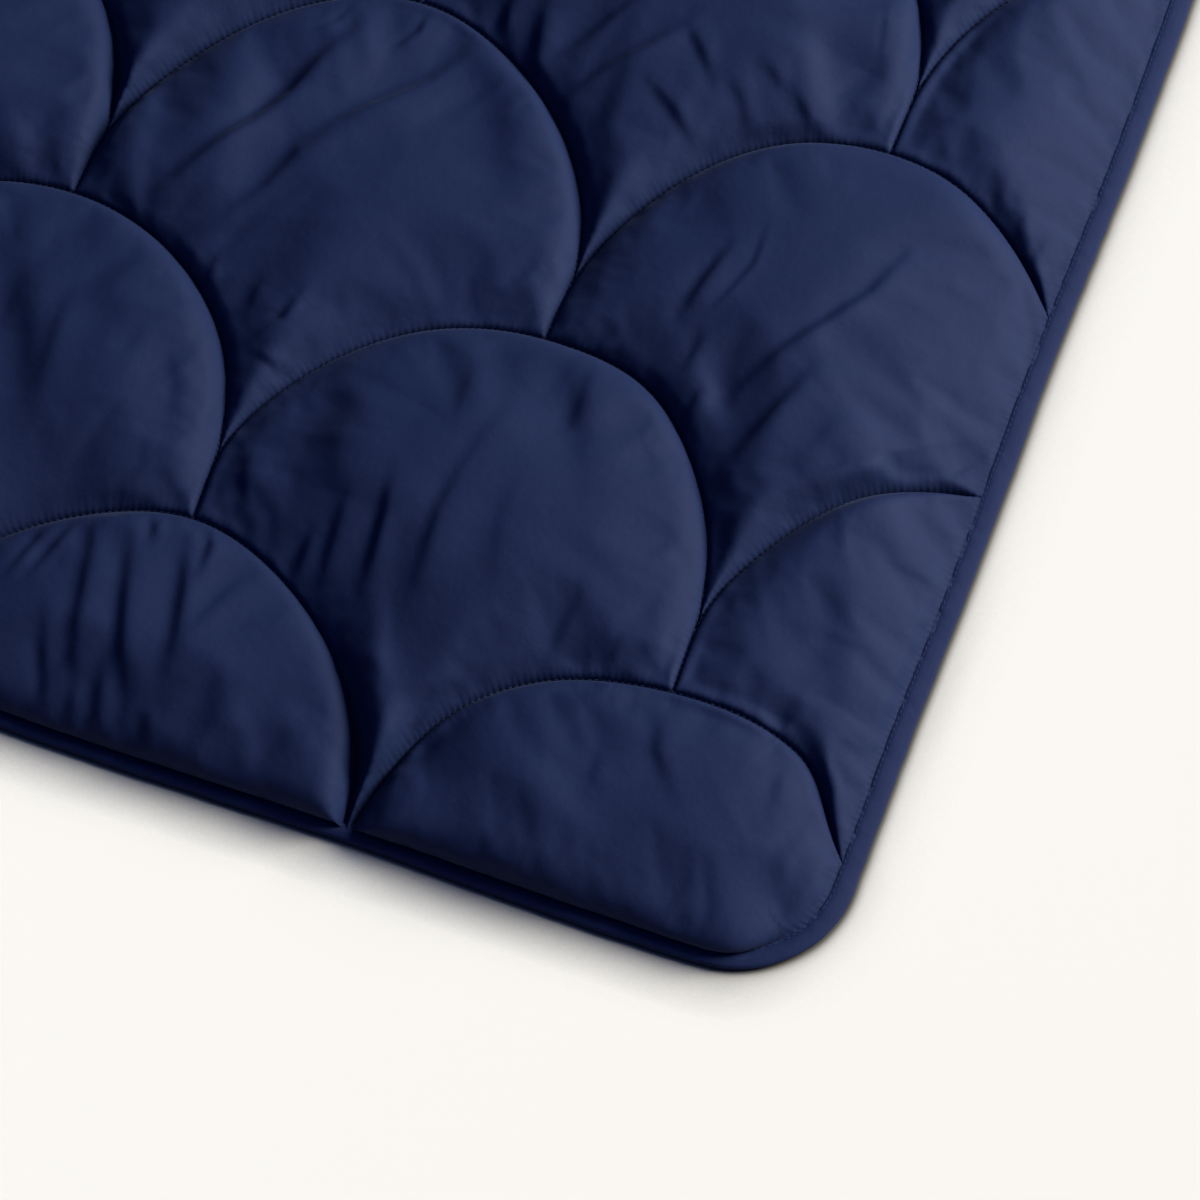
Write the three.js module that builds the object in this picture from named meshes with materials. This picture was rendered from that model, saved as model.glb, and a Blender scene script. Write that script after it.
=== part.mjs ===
// A single duvet, machine quilted in rows of scallops and bound at its edge, lying flat.
// Units are millimetres: +X runs across the width, +Y to the head end, +Z up.
// The origin is on the surface that the duvet lies on, under its middle.

import * as THREE from "three";

// Overall size
const DUVET_WIDTH = 1350;
const DUVET_LENGTH = 2000;
const CORNER_RADIUS = 62;

// Scallop quilting: each scallop is a half circle that stands on two short straight legs
const SCALLOP_WIDTH = 276;
const ARC_RADIUS = SCALLOP_WIDTH / 2;
const LEG = 0.1 * SCALLOP_WIDTH;
const ROW_PITCH = ARC_RADIUS + LEG;
const FOOT_TO_RIGHT_EDGE = 0.944 * SCALLOP_WIDTH;
const FIRST_FEET_BELOW_EDGE = 0.122 * SCALLOP_WIDTH;

// Filled thickness: the crown of a scallop, and the sewn channels between the scallops
const CROWN_HEIGHT = 41;
const CHANNEL_TOP = 15;
const CHANNEL_UNDERSIDE = 10;
const CROWN_VARIATION = 0.07;
// The scallops at the two ends are cut short and hold less filling
const END_ROW_CROWN = 0.8;
const EDGE_RISE = 130;
// The rise from a seam: a broad dome with a short shoulder, or one even rise on the drawn side
const DOME = { reach: 105, power: 2.2, share: 0.62 };
const SHOULDER = { reach: 20, power: 2 };
const DRAWN = { reach: 128, power: 1.55, headingX: -0.8, headingY: -0.6 };
// The slopes down to the binding at the two ends and along the two sides
const END_SLOPE = { share: 0.4, shoulder: 9, reach: 140, power: 1.65 };
const SIDE_SLOPE = { reach: 112, power: 1.35 };
const CROWN_SOFTNESS = 2.6;
const EDGE_SOFTNESS = 4;
// The channels lie higher along the tops of the arcs
const LIFT = { height: 9, degrees: 42, reach: 45 };

// Sewn edge: a thin flange of the cover inside a folded binding
const BINDING_WIDTH = 11;
const BINDING_THICKNESS = 5.4;
const BINDING_CLOTH = 0.9;
const BINDING_ROUNDING = 2.2;
const FLANGE_WIDTH = 6;
const FIT_GAP = 0.3;
const FLANGE_UNDERSIDE = BINDING_CLOTH + FIT_GAP;
const FLANGE_TOP = BINDING_THICKNESS - BINDING_CLOTH - FIT_GAP;

// Facets
const QUARTER_ARC_STEPS = 4;
const UNDERSIDE_ARC_STEPS = 3;
const CORNER_STEPS = 6;
const EDGE_STATION_SPACING = 69;
const LEAST_SCALE_AREA = 900;
const MIDPOINT_SEARCHES = 20;

// Rings of facets inside a scale: how far from its border, and at most how far to its middle
const FLANK_RING = { distance: 9, furthest: 0.55 };
const SHOULDER_RING = { distance: 27, furthest: 0.7 };
const UNDERSIDE_RING = { distance: 17, furthest: 0.6 };
// Rings further in, as parts of the way from the shoulder to the middle
const CROWN_RING = 0.5;
const FOLDED_CROWN_RINGS = { wide: 0.4, narrow: 0.7 };

// Colours of the cotton cover and its binding
const COVER_COLOUR = "#242f55";
const BINDING_COLOUR = "#2a3459";

// Where the seams lie a little off their even layout, and where the edge goes with them
const PULLS = [
  { x: 690, y: -915, shiftX: 2, shiftY: 0, reach: 60, takesEdge: true },
  { x: 412, y: -975, shiftX: 2, shiftY: 0, reach: 60, takesEdge: false },
  { x: 279, y: -862, shiftX: 1, shiftY: 6, reach: 55, takesEdge: false },
  { x: 535, y: -875, shiftX: 0, shiftY: -4, reach: 50, takesEdge: false },
  { x: 640, y: -890, shiftX: 5, shiftY: 9, reach: 52, takesEdge: false },
  { x: 475, y: -712, shiftX: 3, shiftY: 5, reach: 45, takesEdge: false },
  { x: 546, y: -813, shiftX: -3, shiftY: 0, reach: 50, takesEdge: false },
  { x: 273, y: -820, shiftX: -4, shiftY: 1, reach: 45, takesEdge: false },
  { x: 440, y: -612, shiftX: 3, shiftY: -3, reach: 60, takesEdge: false },
  { x: 574, y: -772, shiftX: 2, shiftY: -2, reach: 40, takesEdge: false },
  { x: 169, y: -599, shiftX: 5, shiftY: -4, reach: 60, takesEdge: false },
  { x: 277, y: -530, shiftX: 0, shiftY: 6, reach: 55, takesEdge: false },
  { x: 120, y: -320, shiftX: -4, shiftY: 3, reach: 110, takesEdge: false },
  { x: 520, y: -160, shiftX: 3, shiftY: -5, reach: 110, takesEdge: false },
  { x: -90, y: 60, shiftX: 5, shiftY: 4, reach: 120, takesEdge: false },
  { x: -420, y: -520, shiftX: -5, shiftY: 5, reach: 120, takesEdge: false },
  { x: 300, y: 420, shiftX: -5, shiftY: -4, reach: 120, takesEdge: false },
  { x: -380, y: 380, shiftX: 4, shiftY: 6, reach: 110, takesEdge: false },
  { x: 40, y: 790, shiftX: 5, shiftY: -5, reach: 120, takesEdge: false },
];
// Over this distance from the edge the seams' own shifts fade away
const PULL_FADE = 45;

// How far each side bows out (+) or is drawn in (-) along its length
const EDGE_WAVES = [
  { wavelength: SCALLOP_WIDTH, reach: 60, swell: 0.8 },
  { wavelength: 1750, reach: 160, swell: 1 },
];

// Main soft folds on the crowns: heading is in degrees from +X, depth is negative for a trough
const FOLDS = [
  { x: 247, y: -614, heading: 55, length: 80, width: 15, depth: -7 },
  { x: 268, y: -634, heading: 55, length: 70, width: 13, depth: 5 },
  { x: 226, y: -590, heading: 58, length: 65, width: 14, depth: 5 },
  { x: 560, y: -650, heading: 62, length: 75, width: 14, depth: -6 },
  { x: 508, y: -640, heading: 78, length: 45, width: 15, depth: 5 },
  { x: 543, y: -715, heading: 60, length: 40, width: 13, depth: -5 },
  { x: 405, y: -800, heading: 80, length: 45, width: 15, depth: -5 },
  { x: 378, y: -830, heading: 98, length: 40, width: 14, depth: -4 },
  { x: 270, y: -925, heading: 100, length: 60, width: 14, depth: -5 },
  { x: 236, y: -930, heading: 104, length: 55, width: 13, depth: -4 },
  { x: 600, y: -790, heading: 40, length: 40, width: 15, depth: -5 },
  { x: 420, y: -520, heading: 65, length: 70, width: 15, depth: -6 },
  { x: 470, y: -500, heading: 95, length: 60, width: 14, depth: -5 },
];
// The scallops that these folds lie on get a closer net of facets
const FOLDED_AREA = { left: 150, right: 675, bottom: -1000, top: -440 };

function smoothStep(value) {
  const t = THREE.MathUtils.clamp(value, 0, 1);
  return t * t * (3 - 2 * t);
}

function bell(value) {
  return Math.exp(-value * value);
}

// An even, repeatable number from -1 to 1 for each scallop
function scallopVariation(row, column) {
  const wave = Math.sin(12.9 * row + 47.3 * column) * 43.7;
  return 2 * (wave - Math.floor(wave)) - 1;
}

// Stations round the stitch line, where the cover meets the binding, with their outward normals
function edgeStations() {
  const halfWidth = DUVET_WIDTH / 2 - BINDING_WIDTH;
  const halfLength = DUVET_LENGTH / 2 - BINDING_WIDTH;
  const radius = CORNER_RADIUS - BINDING_WIDTH;
  const corners = [
    { x: halfWidth - radius, y: radius - halfLength, from: -90 },
    { x: halfWidth - radius, y: halfLength - radius, from: 0 },
    { x: radius - halfWidth, y: halfLength - radius, from: 90 },
    { x: radius - halfWidth, y: radius - halfLength, from: 180 },
  ];
  const stations = [];
  for (const [index, corner] of corners.entries()) {
    for (let step = 0; step <= CORNER_STEPS; step += 1) {
      const angle = THREE.MathUtils.degToRad(corner.from + (90 * step) / CORNER_STEPS);
      const normal = new THREE.Vector2(Math.cos(angle), Math.sin(angle));
      const point = normal.clone().multiplyScalar(radius).add(new THREE.Vector2(corner.x, corner.y));
      stations.push({ point, normal });
    }
    const start = stations[stations.length - 1];
    const next = corners[(index + 1) % corners.length];
    const end = start.normal.clone().multiplyScalar(radius).add(new THREE.Vector2(next.x, next.y));
    const spans = Math.round(start.point.distanceTo(end) / EDGE_STATION_SPACING);
    for (let span = 1; span < spans; span += 1) {
      stations.push({ point: start.point.clone().lerp(end, span / spans), normal: start.normal });
    }
  }
  return stations;
}

const STATIONS = edgeStations();
const STITCH_LINE = STATIONS.map((station) => station.point);
// A point this close to the stitch line counts as on it
const ON_LINE = 0.001;
// Corners of a scale closer than this are one point
const SAME_POINT = 0.05;
// Edge stations keep this far from a scale's own corners
const LEAST_SPACING = 1;

function distanceToSegment(point, start, end) {
  const alongX = end.x - start.x;
  const alongY = end.y - start.y;
  const ahead = (point.x - start.x) * alongX + (point.y - start.y) * alongY;
  const fraction = THREE.MathUtils.clamp(ahead / (alongX * alongX + alongY * alongY), 0, 1);
  return Math.hypot(start.x + fraction * alongX - point.x, start.y + fraction * alongY - point.y);
}

function distanceToPolygon(point, polygon) {
  let least = Infinity;
  for (let i = 0; i < polygon.length; i += 1) {
    least = Math.min(least, distanceToSegment(point, polygon[i], polygon[(i + 1) % polygon.length]));
  }
  return least;
}

// Keeps the part of a polygon that lies to the left of the line from start to end
function keepLeftOf(polygon, start, end) {
  const direction = end.clone().sub(start).normalize();
  const side = (point) => direction.cross(point.clone().sub(start));
  const kept = [];
  for (let i = 0; i < polygon.length; i += 1) {
    const here = polygon[i];
    const next = polygon[(i + 1) % polygon.length];
    const sideHere = side(here);
    const sideNext = side(next);
    if (sideHere >= 0) kept.push(here);
    if (sideHere >= 0 !== sideNext >= 0) {
      // The cut is always worked out from the inner end, so that neighbours get the same point
      const [inner, outer] = sideHere >= 0 ? [here, next] : [next, here];
      const fraction = side(inner) / (side(inner) - side(outer));
      kept.push(inner.clone().lerp(outer, fraction));
    }
  }
  return kept;
}

// Adds the edge stations that lie inside the polygon's straight sides
function withEdgeStations(polygon) {
  const result = [];
  for (let i = 0; i < polygon.length; i += 1) {
    const start = polygon[i];
    const end = polygon[(i + 1) % polygon.length];
    const between = STITCH_LINE.filter((station) => {
      const clear = Math.min(station.distanceTo(start), station.distanceTo(end)) > LEAST_SPACING;
      return clear && distanceToSegment(station, start, end) < ON_LINE;
    });
    between.sort((a, b) => a.distanceTo(start) - b.distanceTo(start));
    result.push(start, ...between);
  }
  return result;
}

function clipToStitchLine(polygon) {
  let clipped = polygon;
  for (let i = 0; i < STITCH_LINE.length && clipped.length > 2; i += 1) {
    clipped = keepLeftOf(clipped, STITCH_LINE[i], STITCH_LINE[(i + 1) % STITCH_LINE.length]);
  }
  const distinct = clipped.filter((point, i) => {
    return point.distanceTo(clipped[(i + 1) % clipped.length]) > SAME_POINT;
  });
  return distinct.length > 2 ? withEdgeStations(distinct) : [];
}

function arcPoints(centreX, centreY, fromDegrees, toDegrees, steps) {
  const points = [];
  for (let step = 0; step < steps; step += 1) {
    const angle = THREE.MathUtils.degToRad(fromDegrees + ((toDegrees - fromDegrees) * step) / steps);
    const x = centreX + ARC_RADIUS * Math.cos(angle);
    const y = centreY + ARC_RADIUS * Math.sin(angle);
    points.push(new THREE.Vector2(x, y));
  }
  return points;
}

// One fish scale: its own half circle above, and the flanks of the two scallops of the row
// before it below, from the tip of its tail round to the right and back.
function scalePolygon(row, middleX, steps) {
  const feetY = FIRST_ROW_Y + row * ROW_PITCH;
  const lowerCentreY = feetY - ROW_PITCH + LEG;
  const ownCentreY = feetY + LEG;
  const left = middleX - ARC_RADIUS;
  const right = middleX + ARC_RADIUS;
  return [
    ...arcPoints(right, lowerCentreY, 180, 90, steps),
    new THREE.Vector2(right, feetY),
    ...arcPoints(middleX, ownCentreY, 0, 180, 2 * steps),
    new THREE.Vector2(left, ownCentreY),
    ...arcPoints(left, lowerCentreY, 90, 0, steps),
  ];
}

const FIRST_ROW_Y = -DUVET_LENGTH / 2 - FIRST_FEET_BELOW_EDGE;
const FOOT_X = DUVET_WIDTH / 2 - FOOT_TO_RIGHT_EDGE;
const LAST_ROW = 13;
const FIRST_COLUMN = -5;
const LAST_COLUMN = 1;

// Every scale that the duvet's outline takes in, whole or cut by the edge
function quiltedScales(steps) {
  const scales = [];
  for (let row = 0; row <= LAST_ROW; row += 1) {
    for (let column = FIRST_COLUMN; column <= LAST_COLUMN; column += 1) {
      const middleX = middleOf(row, column);
      const polygon = clipToStitchLine(scalePolygon(row, middleX, steps));
      if (polygon.length > 2) {
        const endRow = row === 0 || row >= LAST_ROW - 1;
        const variation = 1 + CROWN_VARIATION * scallopVariation(row, column);
        const crown = CROWN_HEIGHT * variation * (endRow ? END_ROW_CROWN : 1);
        scales.push({ polygon, crown, row, middleX });
      }
    }
  }
  return scales;
}

// The point of a scale that sees its whole border best: the middle of its kernel
function middleOfScale(polygon) {
  let kernel = polygon;
  for (let i = 0; i < polygon.length; i += 1) {
    const start = polygon[i];
    const end = polygon[(i + 1) % polygon.length];
    const cut = keepLeftOf(kernel, start, end);
    if (cut.length > 2) kernel = cut;
  }
  const middle = new THREE.Vector2();
  for (const point of kernel) middle.add(point);
  return middle.divideScalar(kernel.length);
}

// Height of the sewn channels: they come down to the flange at the edge
function channelHeight(point, atEdge, inside) {
  const inward = distanceToPolygon(point, STITCH_LINE);
  return atEdge + (inside - atEdge) * smoothStep(inward / EDGE_RISE);
}

function middleOf(row, column) {
  return FOOT_X + (column + (row % 2 === 0 ? 0.5 : 0)) * SCALLOP_WIDTH;
}

function centreOf(row) {
  return FIRST_ROW_Y + row * ROW_PITCH + LEG;
}

// How much higher the channels of the upper face lie near the tops of the arcs
function channelLift(point) {
  let lift = 0;
  for (let row = 0; row <= LAST_ROW; row += 1) {
    const above = point.y - centreOf(row);
    for (let column = FIRST_COLUMN; column <= LAST_COLUMN; column += 1) {
      const across = point.x - middleOf(row, column);
      const angle = THREE.MathUtils.radToDeg(Math.atan2(across, above));
      const gap = Math.hypot(across, above) - ARC_RADIUS;
      lift += LIFT.height * bell(angle / LIFT.degrees) * bell(gap / LIFT.reach);
    }
  }
  return lift * smoothStep(distanceToPolygon(point, STITCH_LINE) / EDGE_RISE);
}

function topChannelHeight(point) {
  return channelHeight(point, FLANGE_TOP, CHANNEL_TOP) + channelLift(point);
}

function roundedRise(room, reach, power) {
  return 1 - (1 - THREE.MathUtils.clamp(room / reach, 0, 1)) ** power;
}

// A scale's own seam and its two lower seams: the distance to each, and the way towards it
function scaleBorders(point, { row, middleX }) {
  const across = point.x - middleX;
  const above = point.y - centreOf(row);
  const reach = Math.hypot(across, above);
  const onArc = above > 0;
  const borders = [
    {
      room: onArc ? ARC_RADIUS - reach : ARC_RADIUS - Math.abs(across),
      x: onArc ? across / reach : Math.sign(across),
      y: onArc ? above / reach : 0,
    },
  ];
  if (above < -LEG) borders[0].room = Math.hypot(ARC_RADIUS - Math.abs(across), above + LEG);
  for (const side of [1, -1]) {
    const lowerAcross = across - side * ARC_RADIUS;
    const lowerAbove = point.y - centreOf(row - 1);
    const lowerReach = Math.hypot(lowerAcross, lowerAbove);
    borders.push({
      room: lowerReach - ARC_RADIUS,
      x: -lowerAcross / lowerReach,
      y: -lowerAbove / lowerReach,
    });
  }
  return borders.map((border) => ({ ...border, room: Math.max(border.room, 0.001) }));
}

// The rise from the seams round a scale, from 0 at a seam to 1 on its crown
function seamProfile(point, scale) {
  let total = 0;
  let drawn = 0;
  for (const { room, x, y } of scaleBorders(point, scale)) {
    const weight = room ** -CROWN_SOFTNESS;
    total += weight;
    drawn += weight * smoothStep(0.25 + 0.85 * (x * DRAWN.headingX + y * DRAWN.headingY));
  }
  const room = 1.25 * total ** (-1 / CROWN_SOFTNESS);
  const dome = DOME.share * roundedRise(room, DOME.reach, DOME.power);
  const full = dome + (1 - DOME.share) * roundedRise(room, SHOULDER.reach, SHOULDER.power);
  const even = roundedRise(room, DRAWN.reach, DRAWN.power);
  return full + ((even - full) * drawn) / total;
}

// The rise from the binding, from 0 at the stitch line to 1 well inside it
function edgeProfile(point) {
  const sideRoom = Math.max(DUVET_WIDTH / 2 - BINDING_WIDTH - Math.abs(point.x), 0);
  const endRoom = Math.max(DUVET_LENGTH / 2 - BINDING_WIDTH - Math.abs(point.y), 0);
  const room = distanceToPolygon(point, STITCH_LINE);
  const endness = smoothStep(0.5 + (sideRoom - endRoom) / 60);
  const side = roundedRise(room, SIDE_SLOPE.reach, SIDE_SLOPE.power);
  const shoulder = END_SLOPE.share * roundedRise(room, END_SLOPE.shoulder, SHOULDER.power);
  const end = shoulder + (1 - END_SLOPE.share) * roundedRise(room, END_SLOPE.reach, END_SLOPE.power);
  return side + (end - side) * endness;
}

function foldHeight(point) {
  let height = 0;
  for (const fold of FOLDS) {
    const angle = THREE.MathUtils.degToRad(fold.heading);
    const alongX = Math.cos(angle);
    const alongY = Math.sin(angle);
    const along = (point.x - fold.x) * alongX + (point.y - fold.y) * alongY;
    const across = (point.y - fold.y) * alongX - (point.x - fold.x) * alongY;
    height += fold.depth * bell(along / fold.length) * bell(across / fold.width);
  }
  return height;
}

function topHeight(point, scale) {
  const channel = topChannelHeight(point);
  if (distanceToPolygon(point, scale.polygon) < ON_LINE) return channel;
  const seam = Math.max(seamProfile(point, scale), 0.001);
  const edge = Math.max(edgeProfile(point), 0.001);
  const profile = (seam ** -EDGE_SOFTNESS + edge ** -EDGE_SOFTNESS) ** (-1 / EDGE_SOFTNESS);
  return channel + (scale.crown - channel + foldHeight(point)) * profile;
}

// The small shifts of the cloth in plan, the same for every piece
function laidPlace(x, y) {
  let shiftX = 0;
  let shiftY = 0;
  const sideRoom = DUVET_WIDTH / 2 - BINDING_WIDTH - Math.abs(x);
  const endRoom = DUVET_LENGTH / 2 - BINDING_WIDTH - Math.abs(y);
  const clearOfEdge = smoothStep(Math.min(sideRoom, endRoom) / PULL_FADE);
  for (const pull of PULLS) {
    const near = bell(Math.hypot(x - pull.x, y - pull.y) / pull.reach);
    const weight = near * (pull.takesEdge ? 1 : clearOfEdge);
    shiftX += pull.shiftX * weight;
    shiftY += pull.shiftY * weight;
  }
  for (const wave of EDGE_WAVES) {
    const fromSide = DUVET_WIDTH / 2 - Math.abs(x);
    const fromEnd = DUVET_LENGTH / 2 - Math.abs(y);
    const sideSwell = Math.cos((2 * Math.PI * (y - FIRST_ROW_Y)) / wave.wavelength);
    const endSwell = Math.cos((2 * Math.PI * (x - FOOT_X - ARC_RADIUS)) / wave.wavelength);
    shiftX += Math.sign(x) * wave.swell * (sideSwell - 1) * bell(fromSide / wave.reach);
    shiftY += Math.sign(y) * wave.swell * (endSwell - 1) * bell(fromEnd / wave.reach);
  }
  return new THREE.Vector2(x + shiftX, y + shiftY);
}

// A border point between two stations stays on the straight line between their laid places
function laidBorderPlace(point) {
  for (const [i, start] of STITCH_LINE.entries()) {
    const end = STITCH_LINE[(i + 1) % STITCH_LINE.length];
    if (distanceToSegment(point, start, end) < ON_LINE) {
      const fraction = start.distanceTo(point) / start.distanceTo(end);
      return laidPlace(start.x, start.y).lerp(laidPlace(end.x, end.y), fraction);
    }
  }
  return laidPlace(point.x, point.y);
}

function solidMesh(name, triangles, colour) {
  const positions = [];
  for (const triangle of triangles) {
    for (const corner of triangle) {
      const place = laidBorderPlace(new THREE.Vector2(corner.x, corner.y));
      positions.push(place.x, place.y, corner.z);
    }
  }
  const geometry = new THREE.BufferGeometry();
  geometry.setAttribute("position", new THREE.Float32BufferAttribute(positions, 3));
  geometry.computeVertexNormals();
  const material = new THREE.MeshStandardMaterial({ color: colour, roughness: 0.8, metalness: 0 });
  const mesh = new THREE.Mesh(geometry, material);
  mesh.name = name;
  return mesh;
}

function at(point, z) {
  return new THREE.Vector3(point.x, point.y, z);
}

// A ring of points inside a scale, each the same distance from its border where there is room
function insetRing(polygon, middle, { distance, furthest }) {
  return polygon.map((corner) => {
    let near = 0;
    let far = furthest;
    for (let halving = 0; halving < MIDPOINT_SEARCHES; halving += 1) {
      const fraction = (near + far) / 2;
      const tooClose = distanceToPolygon(corner.clone().lerp(middle, fraction), polygon) < distance;
      if (tooClose) near = fraction;
      else far = fraction;
    }
    return corner.clone().lerp(middle, far);
  });
}

function shrunkRing(ring, middle, fraction) {
  return ring.map((point) => point.clone().lerp(middle, fraction));
}

// Twice as many points round the same ring
function doubled(ring) {
  return ring.flatMap((point, i) => [point, point.clone().lerp(ring[(i + 1) % ring.length], 0.5)]);
}

function everySecond(ring) {
  return ring.filter((point, i) => i % 2 === 0);
}

// Facets between two rings, the outer of which may have twice or half the inner one's points
function ringFacets(outer, inner) {
  const facets = [];
  const most = Math.max(outer.length, inner.length);
  const outerAt = (i) => outer[Math.floor((i * outer.length) / most) % outer.length];
  const innerAt = (i) => inner[Math.ceil((i * inner.length) / most) % inner.length];
  for (let i = 0; i < most; i += 1) {
    if (outerAt(i) !== outerAt(i + 1)) facets.push([outerAt(i), outerAt(i + 1), innerAt(i)]);
    if (innerAt(i) !== innerAt(i + 1)) facets.push([outerAt(i + 1), innerAt(i + 1), innerAt(i)]);
  }
  return facets;
}

function fanFacets(ring, middle) {
  return ring.map((point, i) => [point, ring[(i + 1) % ring.length], middle]);
}

function isFolded(middle) {
  const area = FOLDED_AREA;
  return middle.x > area.left && middle.x < area.right && middle.y > area.bottom && middle.y < area.top;
}

// The upper face of one scale: steep flanks from the channel up to a broad crown
function crownFacets(scale) {
  const { polygon } = scale;
  const middle = middleOfScale(polygon);
  const flank = insetRing(polygon, middle, FLANK_RING);
  const shoulder = insetRing(polygon, middle, SHOULDER_RING);
  const rings = [polygon, flank];
  if (isFolded(middle)) {
    const close = doubled(shoulder);
    const { wide, narrow } = FOLDED_CROWN_RINGS;
    rings.push(close, shrunkRing(close, middle, wide), shrunkRing(shoulder, middle, narrow));
  } else {
    const crown = shrunkRing(shoulder, middle, CROWN_RING);
    rings.push(shoulder, crown.length % 2 === 0 ? everySecond(crown) : crown);
  }
  const facets = [];
  for (let i = 1; i < rings.length; i += 1) facets.push(...ringFacets(rings[i - 1], rings[i]));
  facets.push(...fanFacets(rings[rings.length - 1], middle));
  return facets.map((facet) => facet.map((point) => at(point, topHeight(point, scale))));
}

// The underside of one scale: a shallow channel round a flat patch that lies on the surface
function undersideFacets(scale) {
  const { polygon } = scale;
  const middle = middleOfScale(polygon);
  const patch = insetRing(polygon, middle, UNDERSIDE_RING);
  const heightOf = (point) => channelHeight(point, FLANGE_UNDERSIDE, CHANNEL_UNDERSIDE);
  const facets = ringFacets(polygon, patch).map((facet) => {
    return facet.map((point) => at(point, patch.includes(point) ? 0 : heightOf(point)));
  });
  for (const facet of fanFacets(patch, middle)) facets.push(facet.map((point) => at(point, 0)));
  return facets.map(([a, b, c]) => [a, c, b]);
}

function areaOf(polygon) {
  return THREE.ShapeUtils.area(polygon);
}

// A sliver of a scale that the edge leaves over has no room for filling
function flatFacets(polygon, heightOf) {
  const facets = [];
  for (let i = 2; i < polygon.length; i += 1) facets.push([polygon[0], polygon[i - 1], polygon[i]]);
  return facets.map((facet) => facet.map((point) => at(point, heightOf(point))));
}

// The points of the scales' borders that lie on the stitch line, in order round the duvet
function borderLoop(scales, z) {
  const places = new Map();
  for (const { polygon } of scales) {
    for (const point of polygon) {
      if (distanceToPolygon(point, STITCH_LINE) < ON_LINE) {
        places.set(`${point.x.toFixed(2)} ${point.y.toFixed(2)}`, at(point, z));
      }
    }
  }
  return inOrder([...places.values()]);
}

function inOrder(loop) {
  return loop.sort((a, b) => Math.atan2(a.y, a.x) - Math.atan2(b.y, b.x));
}

// Facets between two loops round the duvet that have different numbers of points
function loopFacets(lower, upper) {
  const angle = (loop, i) => {
    const point = loop[i % loop.length];
    return Math.atan2(point.y, point.x) + 2 * Math.PI * Math.floor(i / loop.length);
  };
  const facets = [];
  let i = 0;
  let j = 0;
  while (i < lower.length || j < upper.length) {
    const here = lower[i % lower.length];
    const above = upper[j % upper.length];
    const stepLower = j >= upper.length || (i < lower.length && angle(lower, i + 1) < angle(upper, j + 1));
    if (stepLower) {
      facets.push([here, lower[(i + 1) % lower.length], above]);
      i += 1;
    } else {
      facets.push([here, upper[(j + 1) % upper.length], above]);
      j += 1;
    }
  }
  return facets;
}

// The cover with its filling: one closed solid with crowns, channels and a thin flange
function duvetBody() {
  const upperScales = quiltedScales(QUARTER_ARC_STEPS);
  const underScales = quiltedScales(UNDERSIDE_ARC_STEPS);
  const facets = [];
  for (const scale of upperScales) {
    const heightOf = topChannelHeight;
    const sliver = areaOf(scale.polygon) < LEAST_SCALE_AREA;
    facets.push(...(sliver ? flatFacets(scale.polygon, heightOf) : crownFacets(scale)));
  }
  for (const scale of underScales) {
    const heightOf = (point) => channelHeight(point, FLANGE_UNDERSIDE, CHANNEL_UNDERSIDE);
    const sliver = areaOf(scale.polygon) < LEAST_SCALE_AREA;
    const flat = () => flatFacets(scale.polygon, heightOf).map(([a, b, c]) => [a, c, b]);
    facets.push(...(sliver ? flat() : undersideFacets(scale)));
  }
  const flangeEdge = STATIONS.map(({ point, normal }) => point.clone().addScaledVector(normal, FLANGE_WIDTH));
  const loops = [
    borderLoop(underScales, FLANGE_UNDERSIDE),
    inOrder(flangeEdge.map((point) => at(point, FLANGE_UNDERSIDE))),
    inOrder(flangeEdge.map((point) => at(point, FLANGE_TOP))),
    borderLoop(upperScales, FLANGE_TOP),
  ];
  for (let i = 1; i < loops.length; i += 1) facets.push(...loopFacets(loops[i - 1], loops[i]));
  return solidMesh("duvet_body", facets, COVER_COLOUR);
}

// The binding's section: out is measured from the stitch line, up from the surface
function bindingSection() {
  const outer = BINDING_WIDTH;
  const top = BINDING_THICKNESS;
  const groove = FLANGE_WIDTH + FIT_GAP;
  return [
    { out: FIT_GAP, up: 0 },
    { out: outer - BINDING_ROUNDING, up: 0 },
    { out: outer, up: BINDING_ROUNDING },
    { out: outer, up: top - BINDING_ROUNDING },
    { out: outer - BINDING_ROUNDING, up: top },
    { out: FIT_GAP, up: top },
    { out: FIT_GAP, up: top - BINDING_CLOTH },
    { out: groove, up: top - BINDING_CLOTH },
    { out: groove, up: BINDING_CLOTH },
    { out: FIT_GAP, up: BINDING_CLOTH },
  ];
}

// The folded binding: its section carried round the edge
function edgeBinding() {
  const section = bindingSection();
  const facets = [];
  for (const [i, station] of STATIONS.entries()) {
    const next = STATIONS[(i + 1) % STATIONS.length];
    for (const [j, corner] of section.entries()) {
      const nextCorner = section[(j + 1) % section.length];
      const place = (from, { out, up }) => at(from.point.clone().addScaledVector(from.normal, out), up);
      const [a, b] = [place(station, corner), place(next, corner)];
      const [c, d] = [place(next, nextCorner), place(station, nextCorner)];
      facets.push([a, b, c], [a, c, d]);
    }
  }
  return solidMesh("edge_binding", facets, BINDING_COLOUR);
}

const duvet = new THREE.Group();
duvet.add(duvetBody(), edgeBinding());

export default duvet;
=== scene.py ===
"""A single duvet, machine quilted in rows of scallops and bound at its edge, lying flat.

The shapes are worked out in millimetres, with the same named values as the part's source, and are
put into the meshes in metres.
"""
import math

import bpy
import numpy as np
from mathutils import Matrix
from mathutils.geometry import delaunay_2d_cdt


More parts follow.
